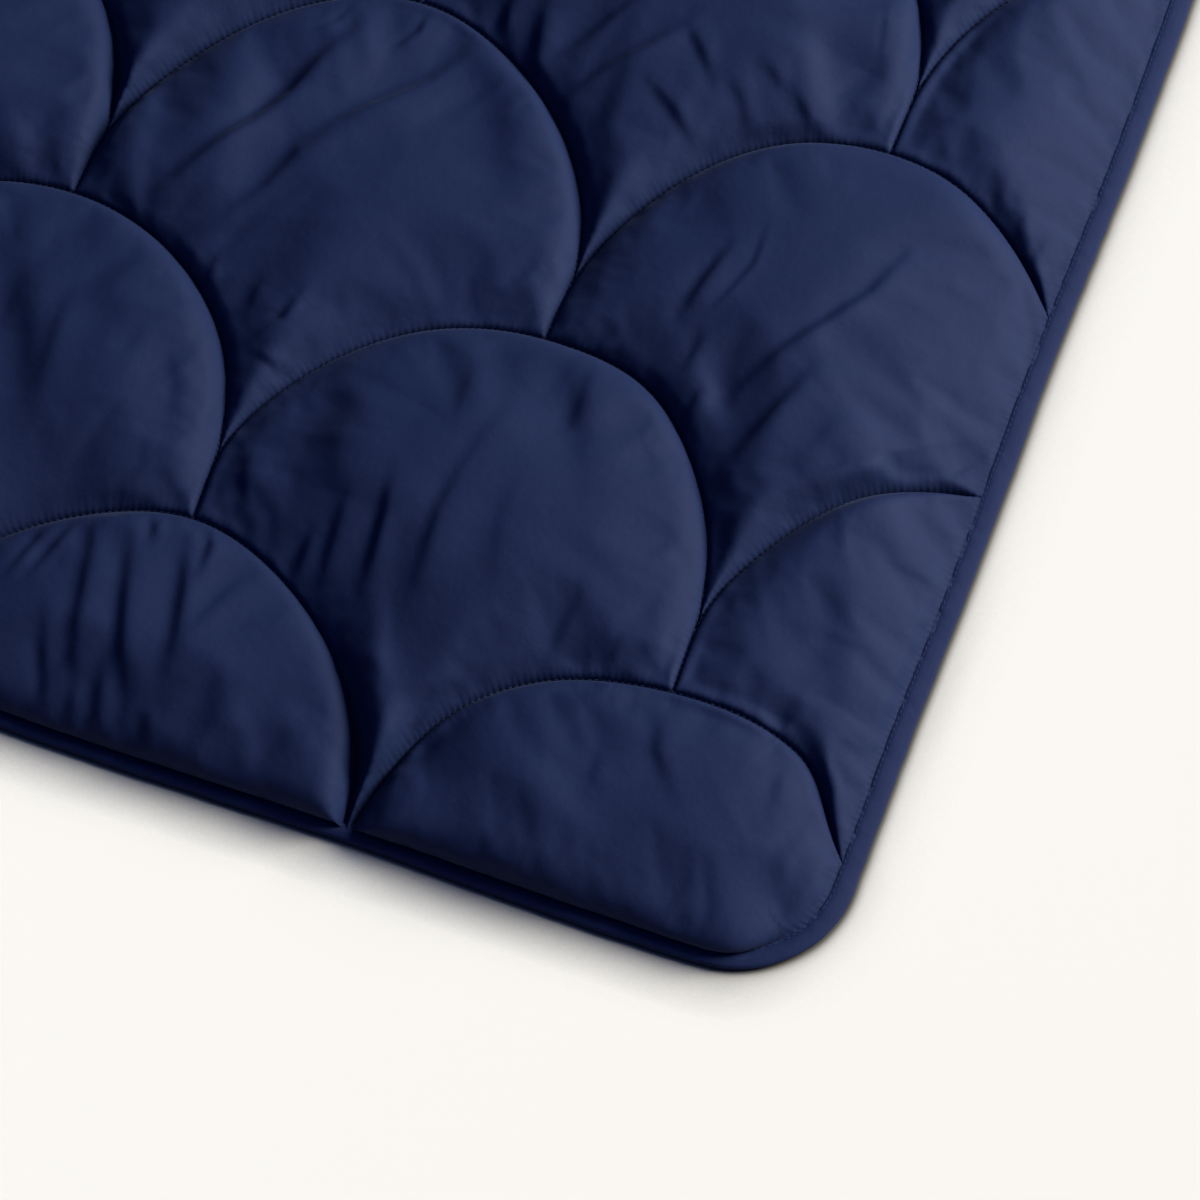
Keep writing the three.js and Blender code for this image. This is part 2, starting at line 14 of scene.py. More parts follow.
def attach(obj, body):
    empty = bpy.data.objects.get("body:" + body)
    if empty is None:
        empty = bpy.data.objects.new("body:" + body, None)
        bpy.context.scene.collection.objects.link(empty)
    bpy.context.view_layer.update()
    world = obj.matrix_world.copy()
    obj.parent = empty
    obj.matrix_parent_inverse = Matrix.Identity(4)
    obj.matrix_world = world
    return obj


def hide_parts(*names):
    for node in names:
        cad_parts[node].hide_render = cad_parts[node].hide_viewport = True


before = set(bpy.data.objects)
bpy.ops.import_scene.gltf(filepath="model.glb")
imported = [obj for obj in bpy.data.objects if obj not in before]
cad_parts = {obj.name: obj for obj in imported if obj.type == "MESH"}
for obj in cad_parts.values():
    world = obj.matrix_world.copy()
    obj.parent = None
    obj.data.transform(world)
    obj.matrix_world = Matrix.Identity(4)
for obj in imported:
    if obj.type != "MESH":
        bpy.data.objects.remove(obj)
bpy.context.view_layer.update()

METRES = 0.001

# Overall size
DUVET_WIDTH = 1350.0
DUVET_LENGTH = 2000.0
CORNER_RADIUS = 62.0

# Scallop quilting: each scallop is a half circle that stands on two short straight legs
SCALLOP_WIDTH = 276.0
ARC_RADIUS = SCALLOP_WIDTH / 2
LEG = 0.1 * SCALLOP_WIDTH
ROW_PITCH = ARC_RADIUS + LEG
FIRST_ROW_Y = -DUVET_LENGTH / 2 - 0.122 * SCALLOP_WIDTH
FOOT_X = DUVET_WIDTH / 2 - 0.944 * SCALLOP_WIDTH
LAST_ROW = 13
FIRST_COLUMN = -5
LAST_COLUMN = 1

# Filled thickness: the crown of a scallop, and the sewn channels between the scallops
CROWN_HEIGHT = 39.0
CROWN_VARIATION = 0.07
# Cloth above the first height is held down softly, and stays below both added together
HIGH_LEVEL = 43.5
HIGH_ROOM = 4.5
CHANNEL_TOP = 21.0
CHANNEL_UNDERSIDE = 10.0
UNDERSIDE_CHANNEL_WIDTH = 17.0
EDGE_RISE = 85.0
# The rise from a seam is shared between a broad dome and a short rounded shoulder. On the sides that
# face away from the light in the photograph, the cloth was pulled across and rises more evenly.
DOME_REACH = 80.0
SHOULDER_REACH = 25.0
DOME_SHARE = 0.45
DOME_POWER = 2.0
SHOULDER_POWER = 2.0
DRAWN_REACH = 64.0
DRAWN_POWER = 1.9
DRAWN_HEADING = (-0.80, -0.60)
# Before it is eased, the drawn share is the first at right angles to that heading, and the second
# more along it
DRAWN_START = 0.25
DRAWN_GAIN = 0.85
# The channels lie higher along the tops of the arcs
LIFT = 5.0
LIFT_ANGLE = math.radians(42)
LIFT_REACH = 45.0
LIFT_FADE = 70.0
# Higher is nearer to the plain least distance to a seam, lower rounds the crown more
CROWN_SOFTNESS = 2.6
# The softened distance comes out short, so it is drawn out by this
CROWN_FULLNESS = 1.25
# Unevenness of the filling: size across, height and seed, and how far from a seam it eases in
UNEVENNESS = ((48, 0.9, 1), (19, 0.35, 2))
UNEVEN_EASE = 14.0
# The two ends rise by a short shoulder and a long slope, and the long sides slope down evenly.
# A corner goes over from one to the other within the blend.
CORNER_BLEND = 60.0
END_SHARE = 0.62
END_SHOULDER = 18.0
END_SHOULDER_POWER = 2.6
END_REACH = 110.0
END_POWER = 1.9
# How much lower the stitch line lies at the two ends
END_DIP = 2.4
END_ROW_CROWN = 0.8
# At the ends the filled cloth bulges out over the inner part of the binding
END_BULGE = 8.8
BULGE_PEAK = 5.5
SIDE_REACH = 112.0
SIDE_POWER = 1.35
EDGE_SOFTNESS = 4.0

# The stitches pull the cloth down in a narrow groove along each seam, less so at the edge. The
# thread lies at this share of its depth.
GROOVE_DEPTH = 2.8
GROOVE_REACH = 1.0
GROOVE_EASE = 12.0
THREAD_SHARE = 0.6
# Gathers of the cloth along the seams: spacing, distance of the highest place from the seam,
# height and seed. They come and go along the seam in patches of this length.
GATHERS = ((4.2, 2.6, 0.16, 1), (9.5, 5.5, 0.65, 2))
GATHER_PATCH = 47.0

# Sewn edge: a thin flange of the cover inside a folded binding
BINDING_WIDTH = 11.0
BINDING_THICKNESS = 5.4
BINDING_CLOTH = 0.9
# The folded strip cut across, from the outer edge inwards over its top: out from the stitch line
# and up from the surface
BINDING_TOP = ((7.6, 5.0), (6.0, 5.15), (4.0, 5.25), (2.6, 5.25), (1.7, 5.1), (1.2, 4.95),
               (0.7, 4.95), (0.2, 4.85), (-0.15, 4.7), (-0.25, 4.55))
BINDING_UNDER = ((0.3, 0.1), (4.0, 0.0))
# From where to where the flange's slot reaches, and the thickness of the rounded outer edge
BINDING_SLOT = (0.4, 6.3)
BINDING_NOSE = 4.7
# The share of the strip's top: none up to this height, and whole at twice this height
BINDING_TOP_FROM = 2.5
# Two swells along the strip, and the gathers near its inner edge: wavelength, seed and size
BINDING_WAVES = ((9.0, 5, 0.35), (31.0, 6, 0.5), (4.4, 7, 0.3))
BINDING_GATHER_REACH = 5.0
BINDING_DROOP = 1.5
BINDING_DIP_REACH = 3.2
# How far the cover's flange reaches into the binding, and its heights there
FLANGE_REACH = 4.0
FLANGE_UNDERSIDE = 1.2
FLANGE_TOP = 4.7

# Where the seams lie a little off their even layout: x, y, shift x, shift y, reach, takes the edge
PULLS = (
    (690, -915, 2, 0, 60, True),
    (412, -975, 2, 0, 60, False),
    (279, -862, 1, 6, 55, False),
    (535, -875, 0, -4, 50, False),
    (640, -890, 5, 9, 52, False),
    (475, -712, 3, 5, 45, False),
    (546, -813, -3, 0, 50, False),
    (273, -820, -4, 1, 45, False),
    (440, -612, 3, -3, 60, False),
    (574, -772, 2, -2, 40, False),
    (169, -599, 5, -4, 60, False),
    (277, -530, 0, 6, 55, False),
    (120, -320, -4, 3, 110, False),
    (520, -160, 3, -5, 110, False),
    (-90, 60, 5, 4, 120, False),
    (-420, -520, -5, 5, 120, False),
    (300, 420, -5, -4, 120, False),
    (-380, 380, 4, 6, 110, False),
    (40, 790, 5, -5, 120, False),
)
PULL_FADE = 45.0
# How far each side is drawn in along its length: wavelength, reach, swell
EDGE_WAVES = ((SCALLOP_WIDTH, 60.0, 0.8), (1750.0, 160.0, 1.0))

# Folds of the cloth, placed where the photograph shows them. Each is the line along the
# middle of its shaded side, as across and down in the photograph's 1200 pixels, then the half
# width in pixels and the depth in millimetres. Below 0, that side is lit instead. The widest
# ones are no creases: they set the swell of a crown.
FOLD_LINES = (
    # middle scallop
    (((492, 438), (462, 485), (440, 525), (418, 582)), 9, 3.0),
    (((397, 485), (377, 545), (360, 592)), 7, 2.6),
    (((347, 505), (327, 555), (316, 590)), 7, 1.8),
    (((312, 535), (288, 578)), 7, 2.0),
    (((345, 395), (335, 460), (338, 530)), 20, 1.4),
    (((250, 440), (243, 480), (246, 520)), 12, 2.2),
    (((474, 372), (462, 405), (456, 440)), 9, 1.0),
    (((592, 378), (582, 410), (566, 448)), 8, 1.1),
    (((520, 480), (500, 540), (492, 600)), 14, 1.5),
    (((585, 590), (560, 640), (540, 680)), 9, 1.3),
    (((620, 640), (600, 682)), 6, 0.8),
    (((400, 480), (440, 420), (490, 365)), 45, 4.0),
    (((300, 500), (330, 430), (380, 375)), 45, 6.0),
    (((560, 350), (580, 420), (585, 490)), 25, 4.0),
    (((385, 560), (385, 660), (380, 760)), 22, -4.0),
    (((545, 640), (560, 700)), 25, -3.0),
    (((640, 650), (655, 700)), 30, -3.5),
    # scallop to the right of it
    (((905, 262), (870, 300), (832, 326), (790, 353), (752, 380), (735, 396)), 7, 3.0),
    (((812, 380), (778, 412), (750, 440), (722, 465)), 9, 3.2),
    (((730, 258), (705, 290), (683, 320)), 6, 2.4),
    (((768, 240), (755, 275), (728, 305), (708, 322)), 3, 0.9),
    (((702, 345), (684, 372)), 6, 1.3),
    (((610, 338), (586, 357)), 5, 2.0),
    (((700, 395), (682, 415)), 6, 1.5),
    (((905, 450), (890, 480)), 6, 0.8),
    (((985, 440), (962, 455), (940, 470)), 3, 0.9),
    (((840, 425), (800, 462)), 12, 1.4),
    (((810, 20), (820, 90), (840, 160)), 35, -8.0),
    (((880, 450), (895, 490)), 25, -8.5),
    (((690, 345), (725, 440)), 22, -4.5),
    # scallop above it on the left
    (((352, 34), (320, 62), (290, 95), (255, 125), (215, 152), (185, 172), (160, 190)), 9, 4.6),
    (((462, 55), (430, 80), (395, 97), (350, 120), (300, 148)), 11, 4.0),
    (((345, 138), (300, 155), (265, 190), (232, 214)), 9, 2.2),
    (((428, 12), (418, 32), (395, 48)), 3, 1.4),
    (((352, 8), (335, 24), (318, 30)), 3, 1.0),
    (((300, 300), (282, 322), (250, 334)), 6, 2.4),
    (((258, 285), (246, 310)), 8, 1.6),
    (((212, 262), (204, 282)), 4, 1.5),
    (((252, 352), (290, 374)), 4, 1.5),
    (((275, 10), (250, 110), (225, 230)), 50, -8.5),
    (((470, 10), (500, 110), (520, 230)), 45, 7.0),
    (((370, 0), (375, 60), (350, 110)), 30, -4.5),
    (((160, 20), (150, 110), (140, 200)), 30, -6.5),
    (((10, 110), (30, 150), (20, 200)), 25, -5.0),
    # lower left scallop
    (((52, 518), (30, 545), (8, 572)), 4, 1.5),
    (((78, 518), (55, 545), (30, 575)), 4, 1.4),
    (((95, 512), (90, 548), (80, 600), (70, 650), (72, 690)), 8, 2.0),
    (((130, 540), (124, 600), (120, 650), (124, 700)), 8, 2.6),
    (((157, 512), (152, 545)), 5, 1.8),
    (((186, 545), (182, 590), (175, 635), (165, 670)), 9, 2.8),
    (((211, 520), (209, 548), (200, 575)), 5, 1.8),
    (((248, 575), (215, 605), (185, 640)), 8, 1.2),
    (((112, 508), (106, 522)), 3, 0.9),
    (((45, 610), (40, 660), (45, 700)), 8, 1.6),
    (((98, 670), (94, 705), (98, 735)), 7, 2.0),
    (((145, 700), (142, 735)), 7, 1.5),
    (((68, 690), (62, 725)), 6, 1.5),
    (((150, 460), (160, 540)), 28, -3.0),
    (((235, 680), (250, 760)), 30, -4.0),
    # scallop at the corner, and the one cut by the right edge
    (((660, 715), (655, 750), (668, 785)), 9, 1.6),
    (((600, 745), (590, 790)), 10, 1.2),
    (((520, 740), (560, 790), (600, 860)), 45, -4.5),
    (((395, 680), (400, 740), (430, 800)), 25, -5.5),
    (((770, 830), (780, 880), (790, 920)), 25, 5.0),
    (((830, 560), (835, 650), (830, 750)), 40, 7.0),
    (((780, 765), (770, 800)), 5, 0.8),
    (((785, 712), (780, 740)), 6, 2.2),
    (((755, 705), (750, 722)), 4, 1.2),
    (((722, 695), (718, 708)), 3, 1.0),
    (((740, 700), (735, 715)), 3, 1.0),
    (((905, 560), (930, 570), (955, 588)), 5, 1.2),
    (((838, 814), (866, 825)), 2, 0.6),
    (((900, 735), (880, 752)), 3, 0.6),
    # along the top of the photograph
    (((1000, 185), (990, 215)), 5, 1.4),
    (((975, 175), (965, 190)), 4, 1.2),
    (((1025, 205), (1010, 235)), 6, 1.5),
    (((1045, 225), (1025, 260)), 5, 1.2),
    (((950, 165), (940, 180)), 4, 1.0),
    (((1038, 270), (1076, 281)), 2, 0.6),
    (((1046, 300), (1055, 325)), 5, 1.0),
    (((640, 8), (600, 35), (555, 62)), 8, 2.6),
    (((692, 32), (650, 55), (610, 72), (570, 95)), 7, 2.6),
    (((545, 10), (535, 45), (528, 85)), 9, 3.2),
    (((508, 5), (500, 35)), 5, 2.2),
    (((690, 40), (702, 62), (712, 88)), 6, 1.6),
    (((650, 90), (672, 115), (692, 146)), 6, 1.8),
    (((730, 85), (742, 110), (750, 135)), 8, 1.2),
    (((795, 100), (815, 135)), 6, 1.5),
    (((765, 75), (785, 98)), 6, 1.0),
    (((887, 10), (880, 60)), 2, 0.5),
    (((950, -10), (940, 40), (900, 100)), 35, -7.5),
    # far left scallop
    (((120, 225), (110, 320), (75, 430)), 60, 8.0),
    (((20, 250), (30, 340), (30, 430)), 30, 6.0),
    (((170, 350), (180, 390), (170, 440)), 18, 3.0),
    (((75, 295), (60, 330), (45, 380), (40, 400)), 12, 1.6),
    (((150, 335), (125, 370)), 12, 1.2),
    (((20, 290), (2, 340)), 12, 1.2),
    (((150, 440), (140, 480)), 8, 0.8),
)
# The cloth's height where a pixel of a fold is taken to lie
FOLD_LEVEL = 30.0
# A fold's two gentle sides are this many times as wide as its shaded one
FOLD_SPREAD = 3.2
LIGHT_HEADING = (0.773, 0.634)
FOLD_WIDENING = 1.1
FOLD_DEEPENING = 1.25
# A fold's depth follows a half sine along its line, to a power. This share at each end is even.
FOLD_ENDS = 0.06
FOLD_TAPER = 0.6
# Folds ease in within this distance from a seam
FOLD_EASE = 9.0
# Each fold has a sharper core: its share of the width and of the depth
CORE_WIDTH = 0.4
CORE_DEPTH = 0.3
# Folds strewn over each scallop that the photograph doesn't show: how many, how far their middles
# spread, and the middle value and spread of heading, length, half width and depth
STREWN_FOLDS = 6
STREWN_ACROSS = 85
STREWN_ALONG = (20, 75)
STREWN_BOW = 5
STREWN_HEADING = (62, 24)
STREWN_LENGTH = (60, 35)
STREWN_WIDTH = (5.5, 2.5)
STREWN_DEPTH = (2.2, 1.3)

# The photograph's view: a long lens, 2.9 m from the cloth, 24 degrees from straight above
VIEW_RIGHT = (0.9313, 0.3572, -0.0709)
VIEW_UP = (-0.3008, 0.8644, 0.4030)
VIEW_BACK = (0.2052, -0.3540, 0.9125)
VIEW_PLACE = (1088.4, -1853.9, 2652.0)
VIEW_LENS = 165.0
SENSOR_WIDTH = 36.0
PHOTO_WIDTH = 1200.0
LENS_IN_PIXELS = VIEW_LENS / SENSOR_WIDTH * PHOTO_WIDTH

# The corner that is seen closest gets the finest net
CLOSE_LEFT = -20.0
CLOSE_LAST_ROW = 4
CLOSE_NET = {"seam_step": 1.4, "rings": (0.6, 1.4, 2.4, 3.6, 5.0, 6.7, 8.7), "spacing": 2.1}
FAR_NET = {"seam_step": 3.6, "rings": (1.2, 3.2, 6.4, 11.0), "spacing": 6.6}
UNDERSIDE_NET = {"seam_step": 3.6, "rings": (6.0, 13.0), "spacing": 26.0}
# Steps along the outline: fine on this length of each side from the close corner, and coarse
EDGE_STEP = 1.8
EDGE_STEP_FAR = 5.0
FINE_EDGE = 760.0
# A scale's number is this times its row, and its column. It is raised to keep it above 0.
NUMBERS_IN_ROW = 100
RAISED = 1000

# The pieces of quilted cloth: whether it is in the close corner, and its first and last row
QUILTED_PIECES = {
    "quilted_corner_foot": (True, 0, 1),
    "quilted_corner_middle": (True, 2, 2),
    "quilted_corner_head": (True, 3, LAST_ROW),
    "quilted_field_foot": (False, 0, 6),
    "quilted_field_head": (False, 7, LAST_ROW),
}

# The cloth that settles over its filling: its net, its spare cloth, and how long it is given
SETTLING_NET = {"seam_step": 4.6, "rings": (4.0,), "spacing": 5.0}
COARSE_NET = {"seam_step": 12.0, "rings": (12.0,), "spacing": 34.0}
SPARE_CLOTH = 0.008
# Points of it that are nearer than this to a seam are sewn down
SEWN_REACH = 0.6
SETTLING_FRAMES = 12
SETTLING_PRESSURE = 2.5
GREATEST_MOVE = 9.0
# The grid that keeps its moves: step, margin in steps, and reach of the bell in steps
FIELD_STEP = 2.5
FIELD_MARGIN = 4
FIELD_REACH = 1.35
# The moves ease in within these distances from a seam, and from the edge where they are copied
SETTLED_EASE = 3.0
COPIED_EASE = 30.0
# Scallops whose settled cloth is copied to the scallops that are out of view: row and column
COPIED_SCALLOPS = ((2, -1), (3, 0), (3, -1))

# Sewing thread
STITCH_PITCH = 3.5
STITCH_LENGTH = 2.9
THREAD_RADIUS = 0.24
# How high it lies over the groove, how far from the edge it starts, and the least points of a run
THREAD_LIFT = 0.15
THREAD_FROM_EDGE = 0.8
SHORTEST_RUN = 6
# Where the binding's stitches lie: out from the stitch line and up from the surface
BINDING_STITCHES = (1.2, 5.02)

# Colours of the cotton and the thread, each between two, and of the floor
COVER_COLOURS = ((0.0030, 0.0076, 0.031, 1), (0.0051, 0.0109, 0.0385, 1))
BINDING_COLOURS = ((0.0032, 0.0080, 0.033, 1), (0.0055, 0.0113, 0.041, 1))
THREAD_COLOURS = ((0.0043, 0.010, 0.037, 1), (0.0078, 0.0157, 0.053, 1))
FLOOR_COLOUR = (0.855, 0.812, 0.675, 1)
# The colour of the painted contact shadow on the floor beside the duvet
FLOOR_PAINTED_CONTACT_SHADOW = (0.05, 0.045, 0.035, 1)
# Where the near light falls on the floor, its colour is deeper, so that it looks even: the colour,
# the place in metres, and the distances from it between which the floor goes back to plain
FLOOR_UNDER_LIGHT = (
    ((0.481, 0.465, 0.418, 1), (1.95, 0.216, 0.0), 1.4, 2.3),
    ((0.25, 0.241, 0.217, 1), (1.647, 0.041, 0.0), 0.25, 1.05),
)
# The painted contact shadow on the floor along the duvet's edge: reach in metres, and power
CONTACT_SHADOW_REACH = 0.035
CONTACT_SHADOW_POWER = 6.0
WARM_LIGHT = (1.0, 0.985, 0.95)
COOL_LIGHT = (0.15, 0.30, 1.0)

# Relief of the materials: the weave's and the thread's waves, in radians for each metre
WEAVE_THREADS = 15000.0
THREAD_RIDGES = 9000.0
# Gathers beside the seams: noise sizes along and across for each metre, reach and share of depth
SEAM_RELIEF = ((330.0, 40.0, 0.0045, 0.18), (150.0, 18.0, 0.011, 0.8))
RELIEF_PATCHES = 22.0
# The dents of the stitches: reach and share of depth
DENT_REACH = 0.0018
DENT_DEPTH = 0.08

# Lights: name, kind, strength, colour, angle or size, tilt from straight above, turn and distance,
# all aimed at one place
LIGHTS = (
    ("soft_key", "SUN", 4.1, WARM_LIGHT, 26.0, 62.0, 38.0, 5.0),
    ("overhead", "SUN", 0.72, COOL_LIGHT, 110.0, 0.0, 0.0, 5.0),
    ("near_key", "AREA", 79.0, WARM_LIGHT, 1.2, 60.0, 30.0, 2.0),
)
LIGHTS_MEET = (0.45, -0.65, 0.0)
FLOOR_REACH = 12000.0


def smooth_step(value):
    """3 t^2 - 2 t^3, with t held between 0 and 1."""
    t = np.clip(value, 0.0, 1.0)
    return t * t * (3.0 - 2.0 * t)


def bell(value):
    """exp(-value^2)."""
    return np.exp(-value * value)


def spread_number(number, seed=0.0):
    """An even, repeatable number from -1 to 1: the fraction of a large sine of the number."""
    wave = np.sin(12.9898 * number + 78.233 * seed + 0.7) * 43758.5453
    return 2.0 * (wave - np.floor(wave)) - 1.0


def wander(place, seed=0.0):
    """Smooth numbers from -1 to 1 along a line: spread numbers one unit apart, eased together."""
    start = np.floor(place)
    ease = smooth_step(place - start)
    return spread_number(start, seed) * (1 - ease) + spread_number(start + 1, seed) * ease


def rolling(x, y, seed=0.0):
    """Smooth numbers from -1 to 1 over a plane: spread numbers on a unit grid, eased together."""
    left = np.floor(x)
    low = np.floor(y)
    ease_x = smooth_step(x - left)
    ease_y = smooth_step(y - low)
    numbers = [[spread_number((left + i) + 57.0 * (low + j), seed) for i in (0, 1)] for j in (0, 1)]
    near, far = [start * (1 - ease_x) + end * ease_x for start, end in numbers]
    return near * (1 - ease_y) + far * ease_y


# The scallop pattern


def shifted_half(row):
    """Half a scallop for the even rows, and nothing for the odd ones."""
    return 0.5 * (np.mod(row, 2) == 0)


def nearest_column(x, row):
    """The column whose scallop of this row is nearest to x."""
    return np.round((x - FOOT_X) / SCALLOP_WIDTH - shifted_half(row))


def middle_x(row, column):
    """Middle of a scallop: foot + (column + half for even rows) x width."""
    return FOOT_X + (column + shifted_half(row)) * SCALLOP_WIDTH


def centre_y(row):
    """Height in plan of the centre of a row's half circles."""
    return FIRST_ROW_Y + row * ROW_PITCH + LEG


def scale_of(x, y):
    """Row and column of the scale that holds each point.

    The band is the whole number of row pitches from the first feet. A point is in the band's own
    scallop where it lies under the half circle, and otherwise in the scallop of the row behind.
    """
    band = np.floor((y - FIRST_ROW_Y) / ROW_PITCH)
    across = x - middle_x(band, nearest_column(x, band))
    above = y - centre_y(band)
    inside = (above <= 0) | (np.hypot(across, above) <= ARC_RADIUS)
    row = np.where(inside, band, band + 1)
    return row, nearest_column(x, row)


def room_to_stitch_line(x, y):
    """Distance inwards from the stitch line, a rounded rectangle: less than 0 outside it."""
    radius = CORNER_RADIUS - BINDING_WIDTH
    over_x = np.abs(x) - (DUVET_WIDTH / 2 - BINDING_WIDTH - radius)
    over_y = np.abs(y) - (DUVET_LENGTH / 2 - BINDING_WIDTH - radius)
    outside = np.hypot(np.maximum(over_x, 0), np.maximum(over_y, 0))
    return radius - outside - np.minimum(np.maximum(over_x, over_y), 0)


def room_inside(x, y):
    """Distance inwards from the stitch line, and 0 outside it."""
    return np.maximum(room_to_stitch_line(x, y), 0)


def room_to_sides(x, y):
    """Distances inwards from the stitch lines of the long sides and of the ends."""
    side_room = DUVET_WIDTH / 2 - BINDING_WIDTH - np.abs(x)
    return side_room, DUVET_LENGTH / 2 - BINDING_WIDTH - np.abs(y)


def seam_number(row, column):
    """A number of its own for each scallop's seam."""
    return row * 31.0 + column


def scale_borders(x, y, row=None, column=None):
    """Each point's distance to its scale's borders, its place along them, and where they lie.

    Own seam: radius less the distance from the scale's centre above it, and radius less the
    distance from the middle line beside its legs. Lower seams: distance from the centres of the
    two scallops of the row before, less the radius. The place along a seam is radius x angle,
    and it is the same seen from both sides of the seam. Each border is its distance, its place,
    the seam's own number and the heading towards it.
    """
    if row is None:
        row, column = scale_of(x, y)
    middle = middle_x(row, column)
    across = x - middle
    above = y - centre_y(row)
    reach = np.maximum(np.hypot(across, above), 1e-6)
    over_arc = above > 0
    heading_x = np.where(over_arc, across / reach, np.sign(across))
    heading_y = np.where(over_arc, above / reach, 0.0)
    room = np.where(over_arc, ARC_RADIUS - reach, ARC_RADIUS - np.abs(across))
    feet_room = np.hypot(ARC_RADIUS - np.abs(across), above + LEG)
    room = np.where(above < -LEG, feet_room, room)
    place = ARC_RADIUS * np.arctan2(np.maximum(above, 0), across)
    place = place - np.sign(across) * np.minimum(above, 0)
    borders = [(room, place, seam_number(row, column), (heading_x, heading_y))]
    for side in (1, -1):
        lower_across = x - (middle + side * ARC_RADIUS)
        lower_above = y - centre_y(row - 1)
        reach = np.maximum(np.hypot(lower_across, lower_above), 1e-6)
        room = reach - ARC_RADIUS
        place = ARC_RADIUS * np.arctan2(lower_above, lower_across)
        heading = (-lower_across / reach, -lower_above / reach)
        number = seam_number(row - 1, nearest_column(middle + side * ARC_RADIUS, row - 1))
        borders.append((np.maximum(room, 0), place, number, heading))
    return row, column, borders


def least_room(x, y):
    """Plain least distance to a seam or to the stitch line."""
    row, column, borders = scale_borders(x, y)
    rooms = [np.abs(border[0]) for border in borders]
    rooms.append(np.abs(room_to_stitch_line(x, y)))
    return np.minimum.reduce(rooms)


def laid_place(x, y):
    """The small shifts of the cloth in plan: bells round each pull, and waves near the edges."""
    clear_of_edge = smooth_step(np.minimum(*room_to_sides(x, y)) / PULL_FADE)
    shift_x = np.zeros_like(x)
    shift_y = np.zeros_like(y)
    for pull_x, pull_y, move_x, move_y, reach, takes_edge in PULLS:
        near = bell(np.hypot(x - pull_x, y - pull_y) / reach)
        weight = near if takes_edge else near * clear_of_edge
        shift_x = shift_x + move_x * weight
        shift_y = shift_y + move_y * weight
    for wavelength, reach, swell in EDGE_WAVES:
        side_swell = swell * (np.cos(2 * np.pi * (y - FIRST_ROW_Y) / wavelength) - 1)
        end_swell = swell * (np.cos(2 * np.pi * (x - FOOT_X - ARC_RADIUS) / wavelength) - 1)
        shift_x = shift_x + np.sign(x) * side_swell * bell((DUVET_WIDTH / 2 - np.abs(x)) / reach)
        shift_y = shift_y + np.sign(y) * end_swell * bell((DUVET_LENGTH / 2 - np.abs(y)) / reach)
    return x + shift_x, y + shift_y


def top_place(x, y):
    """The laid place, and outwards at the ends by bulge x (room / peak) x exp(1 - room / peak)."""
    laid_x, laid_y = laid_place(x, y)
    room = room_inside(x, y) / BULGE_PEAK
    share = np.clip(2 * end_share(x, y) - 1, 0, 1)
    return laid_x, laid_y + np.sign(y) * END_BULGE * share * room * np.exp(1 - room)


# Heights of the quilted cloth


def channel_height(room_at_edge, at_edge, inside):
    """at edge + (inside - at edge) x smooth step(distance from the stitch line / edge rise)."""
    return at_edge + (inside - at_edge) * smooth_step(room_at_edge / EDGE_RISE)


def channel_lift(borders):
    """For each arc: lift x bell(angle from its top / lift angle) x bell(distance / lift reach)."""
    lift = 0.0
    for room, place, number, heading in borders:
        angle = place / ARC_RADIUS - math.pi / 2
        lift = lift + LIFT * bell(angle / LIFT_ANGLE) * bell(room / LIFT_REACH)
    return lift


def sewn_height(x, y, borders, edge_room):
    """The channels between the scallops: channel height + lift x smooth step from the edge."""
    channel = channel_height(edge_room, flange_top(x, y), CHANNEL_TOP)
    return channel + channel_lift(borders) * smooth_step(edge_room / LIFT_FADE)


def rounded_rise(room, reach, power):
    """1 - (1 - room / reach)^power: from 0 at the seam to 1 at the reach."""
    return 1.0 - (1.0 - np.clip(room / reach, 0.0, 1.0)) ** power


def seam_profile(room, drawn):
    """A broad dome and a short shoulder, each by its share, and one even rise where it is drawn."""
    dome = rounded_rise(room, DOME_REACH, DOME_POWER)
    shoulder = rounded_rise(room, SHOULDER_REACH, SHOULDER_POWER)
    even = rounded_rise(room, DRAWN_REACH, DRAWN_POWER)
    full = DOME_SHARE * dome + (1 - DOME_SHARE) * shoulder
    return full + (even - full) * drawn


def drawn_share(borders, weights):
    """How much the nearest borders lie to the drawn side, from 0 to 1."""
    total = sum(weights)
    share = 0.0
    for (room, place, number, heading), weight in zip(borders, weights):
        towards = heading[0] * DRAWN_HEADING[0] + heading[1] * DRAWN_HEADING[1]
        share = share + weight / total * smooth_step(DRAWN_START + DRAWN_GAIN * towards)
    return share


def end_share(x, y):
    """1 along the two ends and 0 along the long sides, with an even change at the corners."""
    side_room, end_room = np.maximum(room_to_sides(x, y), 0)
    return smooth_step(0.5 + (side_room - end_room) / CORNER_BLEND)


def flange_top(x, y):
    """Height of the cover at the stitch line, lower along the ends."""
    return FLANGE_TOP - END_DIP * end_share(x, y)


def edge_profile(x, y):
    """The long sides and the ends each have their slope, and a corner has both."""
    room = room_inside(x, y)
    side = rounded_rise(room, SIDE_REACH, SIDE_POWER)
    shoulder = rounded_rise(room, END_SHOULDER, END_SHOULDER_POWER)
    end = END_SHARE * shoulder + (1 - END_SHARE) * rounded_rise(room, END_REACH, END_POWER)
    return side + (end - side) * end_share(x, y)


def photo_place(across, down):
    """Where the photograph's pixels fall on the cloth: the view ray met with the fold level."""
    right = (across - PHOTO_WIDTH / 2) / LENS_IN_PIXELS
    up = (PHOTO_WIDTH / 2 - down) / LENS_IN_PIXELS
    ray = right[:, None] * VIEW_RIGHT + up[:, None] * VIEW_UP - np.array(VIEW_BACK)
    reach = (FOLD_LEVEL - VIEW_PLACE[2]) / ray[:, 2]
    return np.array(VIEW_PLACE)[:2] + reach[:, None] * ray[:, :2]


